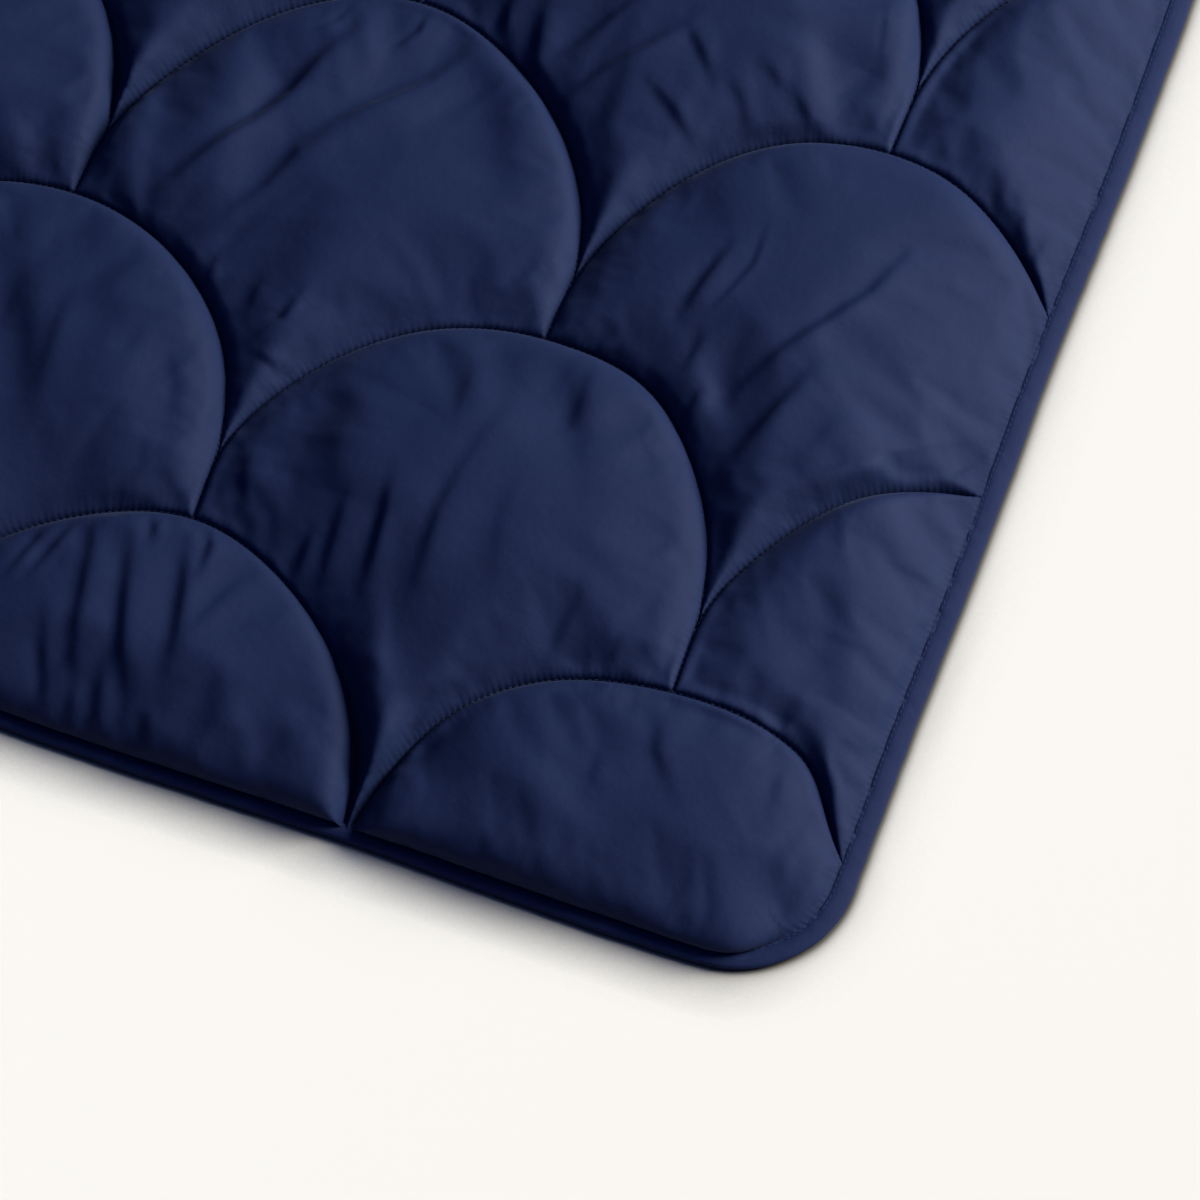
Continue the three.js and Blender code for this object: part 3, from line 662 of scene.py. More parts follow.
def pixel_size():
    """Millimetres of cloth in one of the photograph's pixels."""
    return (VIEW_PLACE[2] - FOLD_LEVEL) / VIEW_BACK[2] / LENS_IN_PIXELS


def fold_list():
    """Every fold as its line in plan, half width and depth, all in millimetres."""
    folds = []
    for line, half_width, depth in FOLD_LINES:
        pixels = np.array(line, float)
        width = half_width * pixel_size() * FOLD_WIDENING
        folds.append((photo_place(*pixels.T), width, depth * FOLD_DEEPENING))
    return folds


def one_fold(x, y, line, width, depth):
    """depth x taper x (tanh(side / width) - tanh(side / wide) + core) x bell of the distance.

    The side is the distance from the line, more than 0 towards the light. The cloth climbs towards
    the light across the line, which shades it, and eases back on both sides. The core is a sharper
    tanh less the first one. The taper is a half sine along the line to a power, and a bell past
    its ends.
    """
    wide = width * FOLD_SPREAD
    margin = 2.2 * wide + width
    low = line.min(axis=0) - margin
    high = line.max(axis=0) + margin
    near = np.flatnonzero((x > low[0]) & (x < high[0]) & (y > low[1]) & (y < high[1]))
    steps = np.diff(line, axis=0)
    lengths = np.hypot(*steps.T)
    starts = np.concatenate(([0], np.cumsum(lengths)))
    best = np.full(len(near), np.inf)
    side = np.zeros(len(near))
    place = np.zeros(len(near))
    last = len(steps) - 1
    for index, (step, length) in enumerate(zip(steps, lengths)):
        unit = step / length
        normal = np.array((-unit[1], unit[0]))
        normal = normal if normal @ np.array(LIGHT_HEADING) > 0 else -normal
        from_x = x[near] - line[index, 0]
        from_y = y[near] - line[index, 1]
        along = from_x * unit[0] + from_y * unit[1]
        across = from_x * normal[0] + from_y * normal[1]
        held = np.clip(along, -1e9 if index == 0 else 0, 1e9 if index == last else length)
        distance = np.hypot(along - held, across)
        closer = distance < best
        best = np.where(closer, distance, best)
        side = np.where(closer, np.where(along == held, across, np.sign(across) * distance), side)
        place = np.where(closer, starts[index] + held, place)
    share = place / starts[-1]
    past = np.maximum(np.maximum(-share, share - 1), 0) * starts[-1]
    middle = np.sin(np.pi * np.clip(share, FOLD_ENDS, 1 - FOLD_ENDS)) ** FOLD_TAPER
    taper = middle * bell(past / (1.5 * width))
    ease = bell(best / (2.0 * wide))
    height = np.zeros_like(x)
    step = np.tanh(side / width)
    core = CORE_DEPTH * (np.tanh(side / (CORE_WIDTH * width)) - step) * middle
    height[near] = depth * taper * (step - np.tanh(side / wide) + core) * ease
    return height


def strewn_folds():
    """Folds for the scallops out of view: even random places, headings, lengths and depths."""
    folds = []
    for row, middle, fine in scallop_list():
        for index in range(0 if fine else STREWN_FOLDS):
            number = row * 17.0 + middle / 31.0 + index * 5.3
            pick = [float(spread_number(number, seed)) for seed in range(6)]
            centre = np.array((middle + STREWN_ACROSS * pick[0],
                               float(centre_y(row)) + STREWN_ALONG[0] + STREWN_ALONG[1] * pick[1]))
            heading = math.radians(STREWN_HEADING[0] + STREWN_HEADING[1] * pick[2])
            along = np.array((math.cos(heading), math.sin(heading)))
            across = np.array((-along[1], along[0]))
            half = along * (STREWN_LENGTH[0] + STREWN_LENGTH[1] * pick[3]) / 2
            line = np.array((centre - half, centre + across * STREWN_BOW * pick[4], centre + half))
            width = STREWN_WIDTH[0] + STREWN_WIDTH[1] * pick[4]
            folds.append((line, width, STREWN_DEPTH[0] + STREWN_DEPTH[1] * pick[5]))
    return folds


def fold_height(x, y):
    """All folds added up."""
    height = np.zeros_like(x)
    for line, width, depth in fold_list() + strewn_folds():
        height = height + one_fold(x, y, line, width, depth)
    return height


def pucker_height(borders):
    """Gathers of the cloth that run out from each seam at right angles to it.

    For each seam and each size of gather: depth x patch x wander(place / spacing) x (room / peak)
    x exp(1 - (room / peak)^1.3), so it is nothing at the seam and dies out beyond the peak.
    """
    height = np.zeros_like(borders[0][0])
    for room, place, number, heading in borders:
        for spacing, peak, depth, seed in GATHERS:
            ripple = wander(place / spacing, seed + number)
            patch = 0.5 + 0.5 * wander(place / GATHER_PATCH, seed + number + 9)
            share = np.maximum(room / peak, 0)
            height = height + depth * patch * ripple * share * np.exp(1 - share ** 1.3)
    return height


def filled_height(x, y, row=None, column=None):
    """Channel + (crown - channel) x profile + unevenness, before the cloth has settled.

    The profile is the soft least of the seam profile and the edge profile.
    """
    row, column, borders = scale_borders(x, y, row, column)
    edge_room = np.maximum(room_to_stitch_line(x, y), 1e-6)
    channel = sewn_height(x, y, borders, edge_room)
    weights = [np.maximum(border[0], 1e-6) ** -CROWN_SOFTNESS for border in borders]
    softened = sum(weights) ** (-1 / CROWN_SOFTNESS)
    variation = spread_number(12.9 * row + 47.3 * column)
    crown = CROWN_HEIGHT * (1 + CROWN_VARIATION * variation)
    crown = crown * np.where((row == 0) | (row >= LAST_ROW - 1), END_ROW_CROWN, 1.0)
    profiles = (seam_profile(CROWN_FULLNESS * softened, drawn_share(borders, weights)),
                edge_profile(x, y))
    total = sum(np.maximum(profile, 1e-6) ** -EDGE_SOFTNESS for profile in profiles)
    profile = total ** (-1 / EDGE_SOFTNESS)
    unevenness = sum(swell * rolling(x / size, y / size, seed) for size, swell, seed in UNEVENNESS)
    ease = smooth_step(np.minimum(softened, edge_room) / UNEVEN_EASE)
    return channel + (crown - channel) * profile + unevenness * ease


def top_height(x, y, row, column):
    """Filled height + (folds + gathers) x ease at the seams - the groove of the stitches."""
    row, column, borders = scale_borders(x, y, row, column)
    seam_room = np.minimum.reduce([border[0] for border in borders])
    edge_room = room_inside(x, y)
    ease = smooth_step(np.minimum(seam_room, edge_room) / FOLD_EASE)
    folds = fold_height(*laid_place(x, y)) * ease
    gathers = pucker_height(borders) * np.minimum(2 * ease, 1)
    groove = np.exp(-np.maximum(seam_room, 0) / GROOVE_REACH)
    groove = GROOVE_DEPTH * smooth_step(edge_room / GROOVE_EASE) * groove
    return filled_height(x, y, row, column) + folds + gathers - groove


def seam_map(x, y, row, column, faces):
    """For each face's corners, the place along its nearest seam and the distance to it.

    Each seam's places start a fixed length further on, so that no two seams look the same.
    """
    row, column, borders = scale_borders(x, y, row, column)
    along_side = np.abs(x) - DUVET_WIDTH / 2 > np.abs(y) - DUVET_LENGTH / 2
    rooms = [np.abs(room_to_stitch_line(x, y))]
    places = [np.where(along_side, y, x)]
    for room, place, number, heading in borders:
        rooms.append(np.abs(room))
        places.append(place + 370.0 * number)
    rooms = np.array(rooms)
    places = np.array(places)
    nearest = np.argmin(rooms[:, faces].mean(axis=2), axis=0)[:, None]
    return np.stack((places[nearest, faces], rooms[nearest, faces]), axis=2)


def underside_height(x, y):
    """Channel x (1 - flank profile): flat on what it lies on, with shallow sewn channels."""
    row, column, borders = scale_borders(x, y)
    edge_room = room_to_stitch_line(x, y)
    channel = channel_height(edge_room, FLANGE_UNDERSIDE, CHANNEL_UNDERSIDE)
    rooms = [np.abs(border[0]) for border in borders]
    least = np.minimum.reduce((*rooms, np.maximum(edge_room, 0)))
    return channel * (1 - smooth_step(least / UNDERSIDE_CHANNEL_WIDTH))


# The net of points that carries the heights


def row_and_column(scales):
    """Row and column of each scale from its number, row x numbers in a row + column."""
    row = np.round(scales / NUMBERS_IN_ROW)
    return row, scales - row * NUMBERS_IN_ROW


def is_close(row, column):
    """Whether a scallop belongs to the corner with the finest net."""
    return (row <= CLOSE_LAST_ROW) & (middle_x(row, column) > CLOSE_LEFT)


def scallop_list():
    """Row, middle and closeness of every scallop that the duvet takes in."""
    scallops = []
    for row in range(0, LAST_ROW + 1):
        for column in range(FIRST_COLUMN, LAST_COLUMN + 1):
            scallops.append((row, float(middle_x(row, column)), bool(is_close(row, column))))
    return scallops


def arc_points(middle, centre, radius, step):
    """Half circle from right to left as an even number of steps."""
    steps = 2 * math.ceil(math.pi * ARC_RADIUS / step / 2)
    angle = np.linspace(0.0, math.pi, steps + 1)
    return np.column_stack((middle + radius * np.cos(angle), centre + radius * np.sin(angle)))


def seam_line(row, middle, step):
    """A scallop's half circle, then its left leg."""
    centre = float(centre_y(row))
    arc = arc_points(middle, centre, ARC_RADIUS, step)
    arc[0, 0] = middle + ARC_RADIUS
    down = np.linspace(0, LEG, math.ceil(LEG / step) + 1)[1:]
    leg = np.column_stack((np.full_like(down, middle - ARC_RADIUS), centre - down))
    return np.vstack((arc, leg))


def outline_points(outwards, step_close, step_far):
    """A rounded rectangle round the duvet, set off outwards from the stitch line.

    Corner points are corner centre + radius x (cos, sin), and sides are straight between them.
    """
    radius = CORNER_RADIUS - BINDING_WIDTH
    half_width = DUVET_WIDTH / 2 - BINDING_WIDTH - radius
    half_length = DUVET_LENGTH / 2 - BINDING_WIDTH - radius
    corners = ((half_width, -half_length, -90), (half_width, half_length, 0),
               (-half_width, half_length, 90), (-half_width, -half_length, 180))
    points = []
    normals = []
    for index, (corner_x, corner_y, start) in enumerate(corners):
        step = step_close if index == 0 else step_far
        angle = np.radians(np.linspace(start, start + 90, math.ceil(radius * math.pi / 2 / step) + 1))
        normal = np.column_stack((np.cos(angle), np.sin(angle)))
        arc = np.array((corner_x, corner_y)) + radius * normal
        next_x, next_y, next_start = corners[(index + 1) % 4]
        end = np.array((next_x, next_y)) + radius * normal[-1]
        points.append(arc)
        normals.append(normal)
        length = np.linalg.norm(end - arc[-1])
        close = FINE_EDGE if index in (0, 3) else 0.0
        fine = np.arange(1, math.floor(close / step_close)) * step_close
        coarse_steps = math.ceil((length - close) / step_far)
        coarse = close + (length - close) * np.arange(0 if close else 1, coarse_steps) / coarse_steps
        places = np.concatenate((fine, coarse))
        if index == 3:
            places = length - places[::-1]
        side = arc[-1] + places[:, None] * (end - arc[-1]) / length
        points.append(side)
        normals.append(np.repeat(normal[-1:], len(side), axis=0))
    points = np.vstack(points)
    normals = np.vstack(normals)
    return points + outwards * normals, normals


def ring_points(row, middle, gap, step):
    """Points a gap to either side of a scallop's seam: half circles of radius +- gap, and legs."""
    centre = float(centre_y(row))
    parts = [arc_points(middle, centre, ARC_RADIUS + side * gap, step) for side in (1, -1)]
    down = np.arange(0.5, LEG / step) * step
    for side in (1, -1):
        x = np.full_like(down, middle - ARC_RADIUS + side * gap)
        parts.append(np.column_stack((x, centre - down)))
    return np.vstack(parts)


def hexagon_points(spacing):
    """Rows of points, every second row set half a spacing along."""
    rows = np.arange(-DUVET_LENGTH / 2, DUVET_LENGTH / 2, spacing * math.sqrt(3) / 2)
    columns = np.arange(-DUVET_WIDTH / 2, DUVET_WIDTH / 2, spacing)
    x, y = np.meshgrid(columns, rows)
    x = x + 0.5 * spacing * (np.arange(len(rows))[:, None] % 2)
    return np.column_stack((x.ravel(), y.ravel()))


def filling_points(net, close):
    """The points between the seams: rings beside every seam, and hexagons further in.

    A ring's points are spread further apart with the root of its gap. Those that another seam
    comes nearer to than the gap are left out, and so are hexagon points close to the last ring.
    """
    kept = []
    step = net["seam_step"]
    for gap in net["rings"]:
        along = max(step, 0.8 * gap ** 0.5 * step)
        parts = [ring_points(row, middle, gap, along) for row, middle, fine in scallop_list()]
        parts.append(outline_points(-gap, along, along)[0])
        points = np.vstack(parts)
        room = least_room(*points.T)
        kept.append(points[np.abs(room - gap) < 0.02 + 0.04 * gap])
    points = hexagon_points(net["spacing"])
    room = least_room(*points.T)
    kept.append(points[room > net["rings"][-1] + 0.55 * net["spacing"]])
    points = np.vstack(kept)
    points = points[room_to_stitch_line(*points.T) > 0.3]
    return points if close is None else points[is_close(*scale_of(*points.T)) == close]


def sewn_lines(close_step, far_step, edge_step):
    """All seams and the two outlines, as points and the pairs of them that are joined."""
    points = []
    pairs = []
    count = 0
    for row, middle, fine in scallop_list():
        line = seam_line(row, middle, close_step if fine else far_step)
        inside = room_to_stitch_line(*line.T) > -2 * FLANGE_REACH
        pair = np.column_stack((np.arange(len(line) - 1), np.arange(1, len(line)))) + count
        pairs.append(pair[inside[:-1] & inside[1:]])
        points.append(line)
        count += len(line)
    for outwards in (0.0, FLANGE_REACH):
        loop = outline_points(outwards, edge_step, EDGE_STEP_FAR)[0]
        start = np.arange(len(loop))
        pairs.append(np.column_stack((start, (start + 1) % len(loop))) + count)
        points.append(loop)
        count += len(loop)
    points = np.vstack(points)
    pairs = np.vstack(pairs)
    used, renumbered = np.unique(pairs, return_inverse=True)
    return points[used], renumbered.reshape(-1, 2)


def joined_net(filling, close_step, far_step, edge_step):
    """Triangles over all points, with every seam and outline kept as edges of the net."""
    lines, pairs = sewn_lines(close_step, far_step, edge_step)
    points = np.vstack((lines, filling))
    result = delaunay_2d_cdt(points.tolist(), pairs.tolist(), [], 0, 1e-4, False)
    plan = np.array([tuple(point) for point in result[0]])
    faces = np.array(result[2])
    middle = plan[faces].mean(axis=1)
    inside = room_to_stitch_line(*middle.T) > -FLANGE_REACH
    row, column = scale_of(*middle[inside].T)
    return plan, faces[inside], row * NUMBERS_IN_ROW + column


def split_by_scale(plan, faces, scales):
    """Gives every scale its own points, so that each seam is a sharp crease.

    It also gives the number of each point's scale, raised.
    """
    keys = faces + (scales.astype(np.int64)[:, None] + RAISED) * len(plan)
    used, corners = np.unique(keys, return_inverse=True)
    return plan[used % len(plan)], corners.reshape(-1, 3), used // len(plan)


def border_edges(faces):
    """Edges that only one triangle uses, in that triangle's direction."""
    edges = np.vstack((faces[:, (0, 1)], faces[:, (1, 2)], faces[:, (2, 0)]))
    most = faces.max() + 1
    there = edges[:, 0] * most + edges[:, 1]
    back = edges[:, 1] * most + edges[:, 0]
    return edges[~np.isin(there, back)]


def matching_points(plan, owner, other_plan, other_owner):
    """For each point, the point of the other net with the same place and scale.

    Both are looked up by a number made from the place, to a hundredth of a millimetre, and the
    scale.
    """
    def number(points, owners):
        place = np.round(points * 100).astype(np.int64) + 200000
        return place[:, 0] * 1000003 + place[:, 1] * 1009 + owners * 7919000000

    other_numbers = number(other_plan, other_owner)
    order = np.argsort(other_numbers)
    found = np.searchsorted(other_numbers[order], number(plan, owner))
    return order[np.clip(found, 0, len(order) - 1)]


def put_mesh(name, points, faces):
    """A smooth-shaded object from points in millimetres and faces with the same number of sides."""
    mesh = bpy.data.meshes.new(name)
    sides = faces.shape[1]
    mesh.vertices.add(len(points))
    mesh.vertices.foreach_set("co", (points * METRES).astype(np.float32).ravel())
    mesh.loops.add(faces.size)
    mesh.loops.foreach_set("vertex_index", faces.astype(np.int32).ravel())
    mesh.polygons.add(len(faces))
    mesh.polygons.foreach_set("loop_start", np.arange(0, faces.size, sides, dtype=np.int32))
    mesh.polygons.foreach_set("use_smooth", np.ones(len(faces), dtype=bool))
    mesh.update(calc_edges=True)
    piece = bpy.data.objects.new(name, mesh)
    bpy.context.collection.objects.link(piece)
    return piece


# The cloth settles over its filling


def cloth_to_settle():
    """The cover of the close corner as a net of its own, and which of its points are sewn down."""
    filling = np.vstack((filling_points(SETTLING_NET, True), filling_points(COARSE_NET, False)))
    steps = (SETTLING_NET["seam_step"], COARSE_NET["seam_step"], SETTLING_NET["seam_step"])
    plan, faces, scales = joined_net(filling, *steps)
    used, renumbered = np.unique(faces[is_close(*row_and_column(scales))], return_inverse=True)
    plan = plan[used]
    faces = renumbered.reshape(-1, 3)
    sewn = np.minimum(least_room(*plan.T), room_to_stitch_line(*plan.T)) < SEWN_REACH
    sewn[np.unique(border_edges(faces))] = True
    return plan, faces, sewn


def field_of_moves(plan, moves):
    """The moves on a square grid: the mean of those near each grid place, by a bell of distance."""
    corner = plan.min(axis=0) - FIELD_MARGIN * FIELD_STEP
    counts = np.ceil((plan.max(axis=0) - corner) / FIELD_STEP).astype(int) + FIELD_MARGIN + 1
    totals = np.zeros((counts[0], counts[1], 4))
    cell = (plan - corner) / FIELD_STEP
    nearest = np.round(cell).astype(int)
    values = np.column_stack((moves, np.ones(len(moves))))
    for i in range(1 - FIELD_MARGIN, FIELD_MARGIN):
        for j in range(1 - FIELD_MARGIN, FIELD_MARGIN):
            node = nearest + (i, j)
            weight = bell(np.hypot(*(node - cell).T) / FIELD_REACH)
            np.add.at(totals, tuple(node.T), weight[:, None] * values)
    return corner, totals[:, :, :3] / np.maximum(totals[:, :, 3:], 1e-9)


def settled_field():
    """Lets the filling press on slightly spare cloth, and keeps how far the cloth moved."""
    plan, faces, sewn = cloth_to_settle()
    start = np.column_stack((plan, filled_height(*plan.T)))
    cloth = put_mesh("settling_cloth", start, faces)
    group = cloth.vertex_groups.new(name="sewn")
    group.add(np.flatnonzero(sewn).tolist(), 1.0, "REPLACE")
    modifier = cloth.modifiers.new("settling", "CLOTH")
    settings = modifier.settings
    settings.quality = 6
    settings.vertex_group_mass = "sewn"
    settings.pin_stiffness = 50.0
    settings.use_pressure = True
    settings.uniform_pressure_force = SETTLING_PRESSURE
    settings.shrink_min = -SPARE_CLOTH
    settings.effector_weights.gravity = 0.0
    modifier.collision_settings.use_collision = False
    modifier.point_cache.frame_start = 1
    modifier.point_cache.frame_end = SETTLING_FRAMES
    for frame_number in range(1, SETTLING_FRAMES + 1):
        bpy.context.scene.frame_set(frame_number)
    settled = cloth.evaluated_get(bpy.context.evaluated_depsgraph_get()).data
    places = np.empty(3 * len(start), dtype=np.float32)
    settled.vertices.foreach_get("co", places)
    moves = np.clip(places.reshape(-1, 3) / METRES - start, -GREATEST_MOVE, GREATEST_MOVE)
    bpy.data.objects.remove(cloth)
    bpy.context.scene.frame_set(1)
    return field_of_moves(plan, moves)


def settled_move(field, x, y):
    """The settled cloth's move at each point, blended evenly between the four grid places round it.

    Scallops out of view take it from a scallop in view, some of them turned left to right.
    """
    corner, moves = field
    row, column = scale_of(x, y)
    close = is_close(row, column)
    count = len(COPIED_SCALLOPS)
    pick = np.floor((spread_number(7.3 * row + 3.1 * column, 4) + 1) / 2 * count).astype(int)
    copied = np.array(COPIED_SCALLOPS, dtype=float)[np.clip(pick, 0, count - 1)]
    turn = np.where(spread_number(5.7 * row + 9.1 * column, 8) > 0, 1.0, -1.0)
    from_x = middle_x(*copied.T) + turn * (x - middle_x(row, column))
    from_y = centre_y(copied[:, 0]) + y - centre_y(row)
    turn = np.where(close, 1.0, turn)
    cell_x = (np.where(close, x, from_x) - corner[0]) / FIELD_STEP
    cell_y = (np.where(close, y, from_y) - corner[1]) / FIELD_STEP
    i = np.clip(np.floor(cell_x).astype(int), 0, moves.shape[0] - 2)
    j = np.clip(np.floor(cell_y).astype(int), 0, moves.shape[1] - 2)
    part_x = np.clip(cell_x - i, 0, 1)[:, None]
    part_y = np.clip(cell_y - j, 0, 1)[:, None]
    near = moves[i, j] * (1 - part_x) + moves[i + 1, j] * part_x
    far = moves[i, j + 1] * (1 - part_x) + moves[i + 1, j + 1] * part_x
    edge_ease = smooth_step(room_inside(x, y) / np.where(close, SETTLED_EASE, COPIED_EASE))
    ease = smooth_step(least_room(x, y) / SETTLED_EASE) * edge_ease
    move = (near * (1 - part_y) + far * part_y) * ease[:, None]
    move[:, 0] = move[:, 0] * turn
    return move


def wall_faces(faces, below):
    """Two triangles from each border edge of the top net down to the points below it."""
    start, end = border_edges(faces).T
    upper = np.column_stack((end, start, below[start]))
    return np.vstack((upper, np.column_stack((end, below[start], below[end]))))


def held_down(height):
    """Above the high level, level + room x tanh((height - level) / room)."""
    above = np.maximum(height - HIGH_LEVEL, 0)
    return height - above + HIGH_ROOM * np.tanh(above / HIGH_ROOM)


def quilted_pieces():
    """The filled cloth, as closed pieces that meet in the seams.

    The top net and the plainer underside net have the same seams, so a narrow wall between them
    closes each scale.
    """
    filling = np.vstack((filling_points(CLOSE_NET, True), filling_points(FAR_NET, False)))
    steps = (CLOSE_NET["seam_step"], FAR_NET["seam_step"], EDGE_STEP)
    nets = (joined_net(filling, *steps), joined_net(filling_points(UNDERSIDE_NET, None), *steps))
    field = settled_field()
    pieces = []
    for name, (in_corner, first_row, last_row) in QUILTED_PIECES.items():
        parts = []
        for plan, faces, scales in nets:
            row, column = row_and_column(scales)
            chosen = (is_close(row, column) == in_corner) & (row >= first_row) & (row <= last_row)
            parts.append(split_by_scale(plan, faces[chosen], scales[chosen]))
        (plan, faces, owner), (low_plan, low_faces, low_owner) = parts
        height = top_height(*plan.T, *row_and_column(owner - float(RAISED)))
        top = np.column_stack((*top_place(*plan.T), height))
        if field is not None:
            top = top + settled_move(field, *plan.T)
        top[:, 2] = held_down(top[:, 2])
        low = np.column_stack((*laid_place(*low_plan.T), underside_height(*low_plan.T)))
        border = np.unique(border_edges(low_faces))
        match = border[matching_points(plan, owner, low_plan[border], low_owner[border])]
        walls = wall_faces(faces, match + len(plan))
        joined = np.vstack((faces, low_faces[:, ::-1] + len(plan), walls))
        piece = put_mesh(name, np.vstack((top, low)), joined)
        row, column = row_and_column(np.concatenate((owner, low_owner)) - float(RAISED))
        corners = seam_map(*np.vstack((plan, low_plan)).T, row, column, joined) * METRES
        layer = piece.data.uv_layers.new(name="seam")
        layer.data.foreach_set("uv", corners.astype(np.float32).ravel())
        pieces.append(piece)
    return pieces


# The folded binding and the thread


def binding_section():
    """The folded strip cut across, as out from the stitch line and up from the surface."""
    turn = np.radians(np.linspace(-90, 90, 9))
    half = BINDING_NOSE / 2
    nose = np.column_stack((BINDING_WIDTH - half + half * np.cos(turn), half + half * np.sin(turn)))
    low = BINDING_CLOTH
    high = BINDING_THICKNESS - BINDING_CLOTH
    start, end = BINDING_SLOT
    slot = ((start, high), (end, high), (end, low), (start, low))
    return np.vstack((nose, BINDING_TOP, slot, BINDING_UNDER))


def binding_place(path, normals, place, out, up):
    """Where the points of a section along the outline come to lie.

    The strip swells and gathers a little along its length, and its outer part droops on the two
    long sides: up - droop x (out / width)^1.5 x the share of the top. At the ends its inner part
    is pulled down with the stitch line: up - dip x bell(out / reach) x the share of the top.
    """
    x, y = laid_place(*path.T)
    outward_share = np.clip(out / BINDING_WIDTH, 0, 1)
    top_share = np.clip((up - BINDING_TOP_FROM) / BINDING_TOP_FROM, 0, 1)
    waves = [wander(place / size, seed)[:, None] * swell for size, seed, swell in BINDING_WAVES]
    swell = waves[0] + waves[1]
    gather = waves[2] * bell(out / BINDING_GATHER_REACH)
    droop = BINDING_DROOP * normals[:, :1] ** 2 * outward_share ** 1.5 * top_share
    droop = droop + END_DIP * normals[:, 1:] ** 2 * bell(out / BINDING_DIP_REACH) * top_share
    across = out + outward_share * swell * 0.5
    height = up + top_share * (swell * 0.3 * (1 - outward_share) + gather) - droop
    place_x = x[:, None] + across * normals[:, :1]
    place_y = y[:, None] + across * normals[:, 1:]
    return np.stack((place_x, place_y, height), axis=2)


def outline_run():
    """The stitch line, its normals, and the place along it."""
    path, normals = outline_points(0.0, EDGE_STEP, EDGE_STEP_FAR)
    steps = np.linalg.norm(np.roll(path, -1, axis=0) - path, axis=1)
    return path, normals, np.concatenate(([0], np.cumsum(steps)[:-1]))


def edge_binding_strip():
    """The binding's section carried round the outline."""
    section = binding_section()
    points = binding_place(*outline_run(), section[:, 0][None, :], section[:, 1][None, :])
    return put_mesh("edge_binding_strip", points.reshape(-1, 3), tube_faces(*points.shape[:2]))


def stitch_mesh(name, middles, along):
    """One pointed four-sided lozenge for each stitch, all joined in one mesh.

    A lozenge is middle + along x (-1, -0.6, 0.6, 1) x half the length, with rings of four points
    round it at the two inner places.
    """
    side = np.column_stack((-along[:, 1], along[:, 0], np.zeros(len(along))))
    side = side / np.linalg.norm(side, axis=1)[:, None]
    up = np.cross(along, side)
    half = STITCH_LENGTH / 2
    points = [middles - along * half]
    for place in (-0.6, 0.6):
        for angle in (0.0, 0.5 * np.pi, np.pi, 1.5 * np.pi):
            round_it = side * np.cos(angle) + up * np.sin(angle)
            points.append(middles + along * half * place + round_it * THREAD_RADIUS)
    points.append(middles + along * half)
    points = np.stack(points, axis=1)
    faces = []
    for i, j in ((1, 2), (2, 3), (3, 4), (4, 1)):
        faces.extend(((0, j, i), (i, j, j + 4), (i, j + 4, i + 4), (i + 4, j + 4, 9)))
    faces = np.array(faces)[None, :, :] + 10 * np.arange(len(middles))[:, None, None]
    return put_mesh(name, points.reshape(-1, 3), faces.reshape(-1, 3))


def evenly_along(line, pitch):
    """Places at an even pitch along a line of points, and the directions there."""
    steps = np.hypot(*np.diff(line[:, :2], axis=0).T)
    place = np.concatenate(([0], np.cumsum(steps)))
    wanted = np.arange(pitch / 2, place[-1], pitch)
    middles, ahead, behind = [
        np.column_stack([np.interp(wanted + offset, place, line[:, axis]) for axis in range(3)])
        for offset in (0.0, 0.5, -0.5)
    ]
    along = ahead - behind
    along = along / np.maximum(np.linalg.norm(along, axis=1), 1e-9)[:, None]
    return middles, along


def seam_stitches():
    """Stitches along every seam, lying in the crease."""
    middles = []
    along = []
    for row, middle, fine in scallop_list():
        line = seam_line(row, middle, CLOSE_NET["seam_step"])
        edge_room = room_inside(*line.T)
        height = sewn_height(*line.T, scale_borders(*line.T)[2], edge_room)
        height = height - THREAD_SHARE * GROOVE_DEPTH * smooth_step(edge_room / GROOVE_EASE)
        thread = np.column_stack((*top_place(*line.T), height + THREAD_LIFT))
        inside = np.flatnonzero(edge_room > THREAD_FROM_EDGE)
        for run in np.split(inside, np.flatnonzero(np.diff(inside) > 1) + 1):
            if len(run) >= SHORTEST_RUN:
                places, headings = evenly_along(thread[run], STITCH_PITCH)
                middles.append(places)
                along.append(headings)
    return stitch_mesh("seam_stitches", np.vstack(middles), np.vstack(along))


def binding_stitches():
    """The row of stitches that holds the binding, near its inner edge."""
    out, up = np.reshape(BINDING_STITCHES, (2, 1, 1))
    line = binding_place(*outline_run(), out, up)[:, 0]
    line = np.vstack((line, line[:1]))
    return stitch_mesh("binding_stitches", *evenly_along(line, STITCH_PITCH))


def tube_faces(rounds, sides):
    """Quads of a closed tube that comes back to its start, for points in rounds x sides order."""
    i, j = np.meshgrid(np.arange(rounds), np.arange(sides), indexing="ij")
    here = i * sides + j
    beside = i * sides + (j + 1) % sides
    ahead = ((i + 1) % rounds) * sides + j
    both = ((i + 1) % rounds) * sides + (j + 1) % sides
    return np.stack((here, ahead, both, beside), axis=2).reshape(-1, 4)


# Materials


def fill_inputs(tree, node, values):
    """Sets each input, by its name or number, to a plain value, or links it to a socket."""
    for key, value in values.items():
        if isinstance(value, bpy.types.NodeSocket):
            tree.links.new(value, node.inputs[key])
        else:
            node.inputs[key].default_value = value


def add_node(tree, kind, values):
    """The outputs of a new shader node of this kind, with its inputs filled."""
    node = tree.nodes.new("ShaderNode" + kind)
    fill_inputs(tree, node, values)
    return node.outputs


def math_node(tree, operation, *values, clamped=False):
    """A maths node whose inputs are numbers or other sockets."""
    node = tree.nodes.new("ShaderNodeMath")
    node.operation = operation
    node.use_clamp = clamped
    fill_inputs(tree, node, dict(enumerate(values)))
    return node.outputs[0]


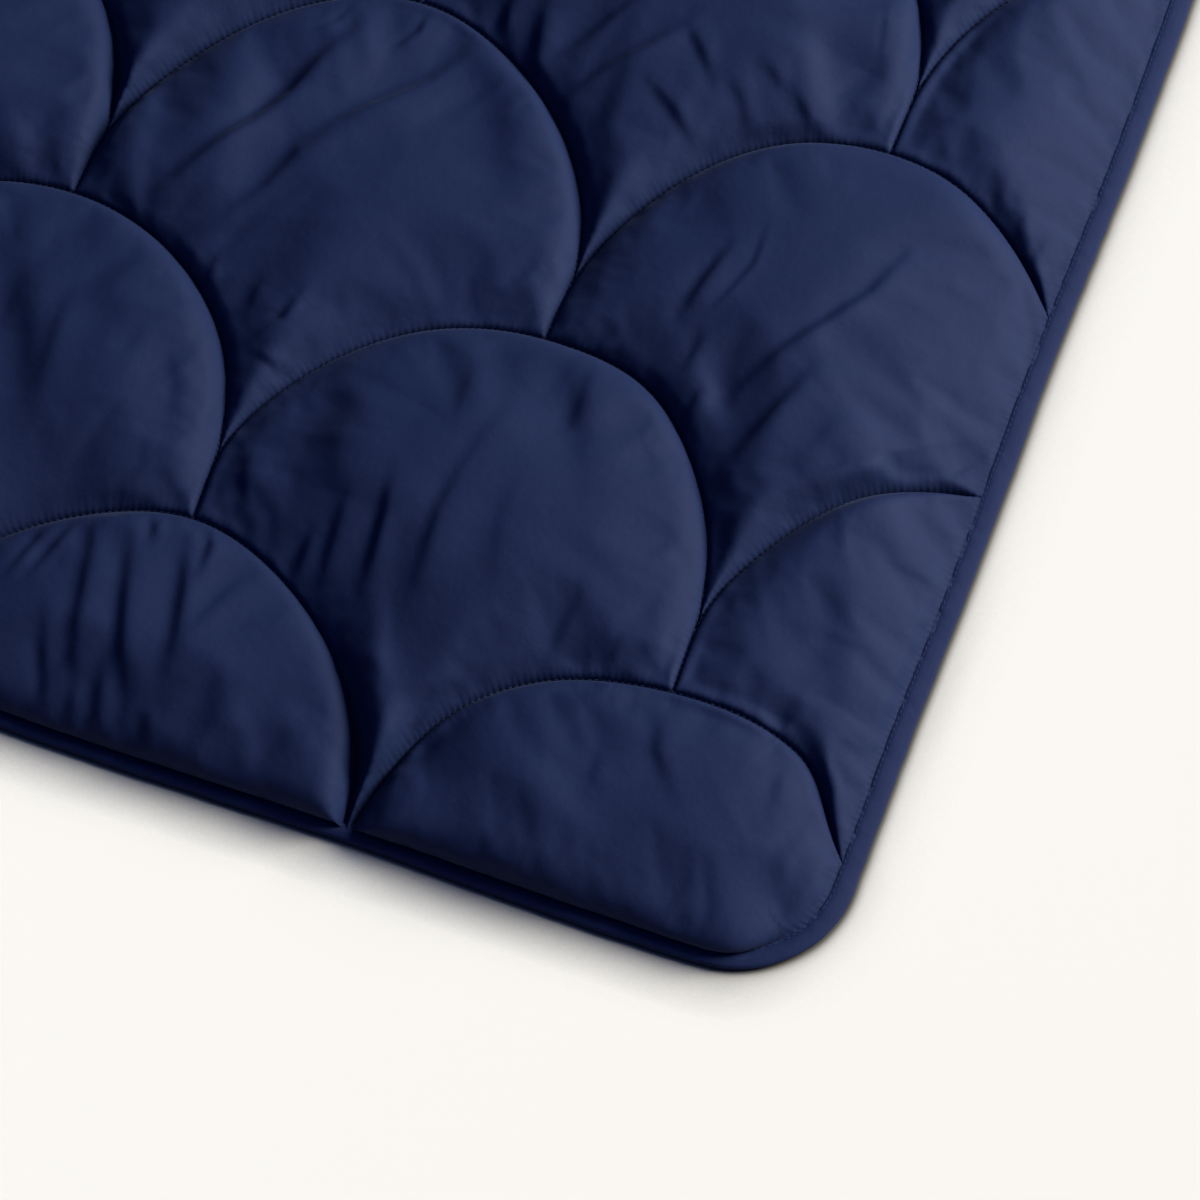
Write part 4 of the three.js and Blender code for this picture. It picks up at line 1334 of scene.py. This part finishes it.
def group_node(tree, group, values):
    """The outputs of a group that is placed in a node tree."""
    node = tree.nodes.new("ShaderNodeGroup")
    node.node_tree = group
    fill_inputs(tree, node, values)
    return node.outputs


def colour_mix(tree, factor, first, second):
    """From the first colour to the second, each a plain colour or a socket."""
    node = tree.nodes.new("ShaderNodeMix")
    node.data_type = "RGBA"
    fill_inputs(tree, node, {"Factor": factor, "A": first, "B": second})
    return node.outputs["Result"]


def noise_node(tree, vector, scale, detail, roughness=0.5):
    """Soft noise that follows the given coordinates."""
    values = {"Vector": vector, "Scale": scale, "Detail": detail, "Roughness": roughness}
    return add_node(tree, "TexNoise", values)["Fac"]


def bump_node(tree, height, strength, distance, beneath=None):
    """The normal of a relief, laid over the normal of a relief beneath it."""
    values = {"Height": height, "Strength": strength, "Distance": distance}
    if beneath is not None:
        values["Normal"] = beneath
    return add_node(tree, "Bump", values)["Normal"]


def new_group(name, inputs, outputs):
    """An empty shader node group with its sockets, and its nodes for what goes in and out."""
    group = bpy.data.node_groups.new(name, "ShaderNodeTree")
    for socket, kind in inputs:
        group.interface.new_socket(name=socket, in_out="INPUT", socket_type=kind)
    for socket in outputs:
        group.interface.new_socket(name=socket, in_out="OUTPUT", socket_type="NodeSocketFloat")
    start = group.nodes.new("NodeGroupInput")
    end = group.nodes.new("NodeGroupOutput")
    return group, start.outputs, end


def new_material(name):
    """A material with its node tree and its shader."""
    material = bpy.data.materials.new(name)
    material.use_nodes = True
    return material, material.node_tree, material.node_tree.nodes["Principled BSDF"]


def cotton_weave_group():
    """Height of a plain weave: two crossed waves, with slubs where the yarn is thicker."""
    inputs = (("Vector", "NodeSocketVector"), ("Threads", "NodeSocketFloat"))
    group, start, end = new_group("cotton weave", inputs, ("Height", "Slub"))
    place = add_node(group, "SeparateXYZ", {0: start["Vector"]})
    warp, weft = [
        math_node(group, "SINE", math_node(group, "MULTIPLY", place[axis], start["Threads"]))
        for axis in ("X", "Y")
    ]
    slub = noise_node(group, start["Vector"], 900.0, 3.0, 0.6)
    fill_inputs(group, end, {"Height": math_node(group, "MULTIPLY", warp, weft), "Slub": slub})
    return group


def seam_gathers_group():
    """Height of small gathers that run out from a seam, from place along it and distance from it.

    Noise that is fine along the seam and long across it, for two sizes of gather, each fading
    with exp(-distance / reach), and one small dent for every stitch beside the seam. A slow
    noise along the seam lets the gathers come and go.
    """
    group, start, end = new_group("seam gathers", (("Seam", "NodeSocketVector"),), ("Height",))
    seam = add_node(group, "SeparateXYZ", {0: start["Seam"]})

    def times(first, second):
        return math_node(group, "MULTIPLY", first, second)

    def fading(reach):
        return math_node(group, "EXPONENT", times(seam["Y"], -1 / reach))

    heights = []
    for along, across, reach, depth in SEAM_RELIEF:
        stretched = {"X": times(seam["X"], along), "Y": times(seam["Y"], across)}
        ripple = noise_node(group, add_node(group, "CombineXYZ", stretched)[0], 1.0, 1.5)
        centred = math_node(group, "SUBTRACT", ripple, 0.5)
        heights.append(times(times(centred, fading(reach)), depth))
    turned = times(seam["X"], 2 * math.pi / (STITCH_PITCH * METRES))
    dent = times(times(math_node(group, "SINE", turned), fading(DENT_REACH)), DENT_DEPTH)
    slow = add_node(group, "CombineXYZ", {"X": times(seam["X"], RELIEF_PATCHES)})[0]
    patches = math_node(group, "SUBTRACT", noise_node(group, slow, 1.0, 1.0), 0.38)
    patches = math_node(group, "MULTIPLY", patches, 3.2, clamped=True)
    total = times(math_node(group, "ADD", *heights), patches)
    fill_inputs(group, end, {"Height": math_node(group, "ADD", total, dent)})
    return group


def crumple_group():
    """Height of fine creases in pressed cotton, from two sizes of soft noise, and patches."""
    inputs = (("Vector", "NodeSocketVector"),)
    group, start, end = new_group("soft crumple", inputs, ("Height", "Patches"))
    place = start["Vector"]
    large = noise_node(group, place, 38.0, 4.0, 0.55)
    small = math_node(group, "MULTIPLY", noise_node(group, place, 190.0, 3.0), 0.3)
    height = math_node(group, "ADD", large, small)
    fill_inputs(group, end, {"Height": height, "Patches": noise_node(group, place, 9.0, 3.0)})
    return group


def cotton_material(name, colours, weave, crumple, gathers=None):
    """Navy cotton: weave, creases and gathers as bump, patches of colour, and a soft sheen."""
    material, tree, shader = new_material(name)
    place = add_node(tree, "TexCoord", {})["Object"]
    yarn = group_node(tree, weave, {"Vector": place, "Threads": WEAVE_THREADS})
    creases = group_node(tree, crumple, {"Vector": place})
    slubs = math_node(tree, "MULTIPLY_ADD", yarn["Slub"], 1.5, -0.65)
    patches = math_node(tree, "MULTIPLY_ADD", creases["Patches"], 0.8, slubs)
    normal = bump_node(tree, yarn["Height"], 0.35, 0.00006)
    normal = bump_node(tree, creases["Height"], 0.5, 0.0012, normal)
    if gathers is not None:
        seam = tree.nodes.new("ShaderNodeUVMap")
        seam.uv_map = "seam"
        gathered = group_node(tree, gathers, {"Seam": seam.outputs["UV"]})["Height"]
        normal = bump_node(tree, gathered, 1.0, 0.0013, normal)
    fill_inputs(tree, shader, {
        "Base Color": colour_mix(tree, patches, *colours),
        "Normal": normal,
        "Roughness": 0.72,
        "Specular IOR Level": 0.11,
        "Sheen Weight": 0.036,
        "Sheen Roughness": 0.4,
        "Sheen Tint": (0.6, 0.72, 1.0, 1),
    })
    return material


def thread_material():
    """Twisted navy thread: fine slanting ridges, and a slight shine."""
    material, tree, shader = new_material("navy_thread")
    place = add_node(tree, "TexCoord", {})["Object"]
    split = add_node(tree, "SeparateXYZ", {0: place})
    slanting = math_node(tree, "ADD", split["X"], split["Y"])
    ridge = math_node(tree, "SINE", math_node(tree, "MULTIPLY", slanting, THREAD_RIDGES))
    fill_inputs(tree, shader, {
        "Base Color": colour_mix(tree, noise_node(tree, place, 700.0, 2.0), *THREAD_COLOURS),
        "Normal": bump_node(tree, ridge, 0.4, 0.00008),
        "Roughness": 0.65,
        "Specular IOR Level": 0.2,
    })
    return material


def floor_material():
    """Plain warm white: deeper beneath and round the near light, and a painted contact shadow close
    to the duvet.
    """
    material, tree, shader = new_material("pale_floor")
    place = add_node(tree, "TexCoord", {})["Object"]

    def away_from(point, near, far):
        """0 nearer to the point than near, 1 further than far, and even between them."""
        distance = tree.nodes.new("ShaderNodeVectorMath")
        distance.operation = "DISTANCE"
        fill_inputs(tree, distance, {0: place, 1: point})
        values = {"Value": distance.outputs["Value"], "From Min": near, "From Max": far}
        return add_node(tree, "MapRange", values)["Result"]

    colour = FLOOR_COLOUR
    for deeper, point, near, far in FLOOR_UNDER_LIGHT:
        colour = colour_mix(tree, away_from(point, near, far), deeper, colour)
    # Painted contact shadow: the floor's colour goes dark where ambient occlusion finds the duvet
    # near
    open_sky = add_node(tree, "AmbientOcclusion", {"Distance": CONTACT_SHADOW_REACH})["AO"]
    open_sky = math_node(tree, "POWER", open_sky, CONTACT_SHADOW_POWER)
    fill_inputs(tree, shader, {
        "Base Color": colour_mix(tree, open_sky, FLOOR_PAINTED_CONTACT_SHADOW, colour),
        "Roughness": 0.9,
        "Specular IOR Level": 0.1,
    })
    return material


# Camera, light and floor


def place_camera():
    """The photograph's view."""
    data = bpy.data.cameras.new("photo_camera")
    data.lens = VIEW_LENS
    data.sensor_width = SENSOR_WIDTH
    data.clip_end = 100.0
    camera = bpy.data.objects.new("photo_camera", data)
    turned = Matrix((VIEW_RIGHT, VIEW_UP, VIEW_BACK)).transposed().to_4x4()
    turned.translation = [place * METRES for place in VIEW_PLACE]
    camera.matrix_world = turned
    bpy.context.collection.objects.link(camera)
    bpy.context.scene.camera = camera


def place_lights():
    """A soft key and a near light from the photograph's right, and a faint cool surround.

    Each light is put above the close corner, tilted to +X from straight above, and turned.
    """
    world = bpy.data.worlds.new("pale_surround")
    world.use_nodes = True
    background = world.node_tree.nodes["Background"]
    fill_inputs(world.node_tree, background, {"Color": (*COOL_LIGHT, 1), "Strength": 0.08})
    bpy.context.scene.world = world
    for name, kind, energy, colour, spread, tilt, turn, reach in LIGHTS:
        data = bpy.data.lights.new(name, kind)
        data.energy = energy
        data.color = colour
        if kind == "SUN":
            data.angle = math.radians(spread)
        else:
            data.size = spread
        light = bpy.data.objects.new(name, data)
        tilted = Matrix.Rotation(math.radians(tilt), 4, "Y")
        turned = Matrix.Rotation(math.radians(turn), 4, "Z")
        out = Matrix.Translation((0.0, 0.0, reach))
        light.matrix_world = Matrix.Translation(LIGHTS_MEET) @ turned @ tilted @ out
        bpy.context.collection.objects.link(light)


def place_floor():
    """A flat square well past every view."""
    corners = ((-1, -1, 0), (1, -1, 0), (1, 1, 0), (-1, 1, 0))
    floor = put_mesh("pale_floor", FLOOR_REACH * np.array(corners), np.array([(0, 1, 2, 3)]))
    floor.data.materials.append(floor_material())


bpy.context.scene.view_settings.view_transform = "Standard"
place_camera()
place_lights()
place_floor()

weave = cotton_weave_group()
crumple = crumple_group()
gathers = seam_gathers_group()
cover_cotton = cotton_material("navy_cover_cotton", COVER_COLOURS, weave, crumple, gathers)
binding_cotton = cotton_material("navy_binding_cotton", BINDING_COLOURS, weave, crumple)
thread_cotton = thread_material()

for piece in quilted_pieces():
    piece.data.materials.append(cover_cotton)
    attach(piece, "root")
    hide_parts("duvet_body")

strip = edge_binding_strip()
strip.data.materials.append(binding_cotton)
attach(strip, "root")
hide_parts("edge_binding")

for stitches, slot in ((seam_stitches(), "cover"), (binding_stitches(), "binding")):
    stitches.data.materials.append(thread_cotton)
    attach(stitches, "root")
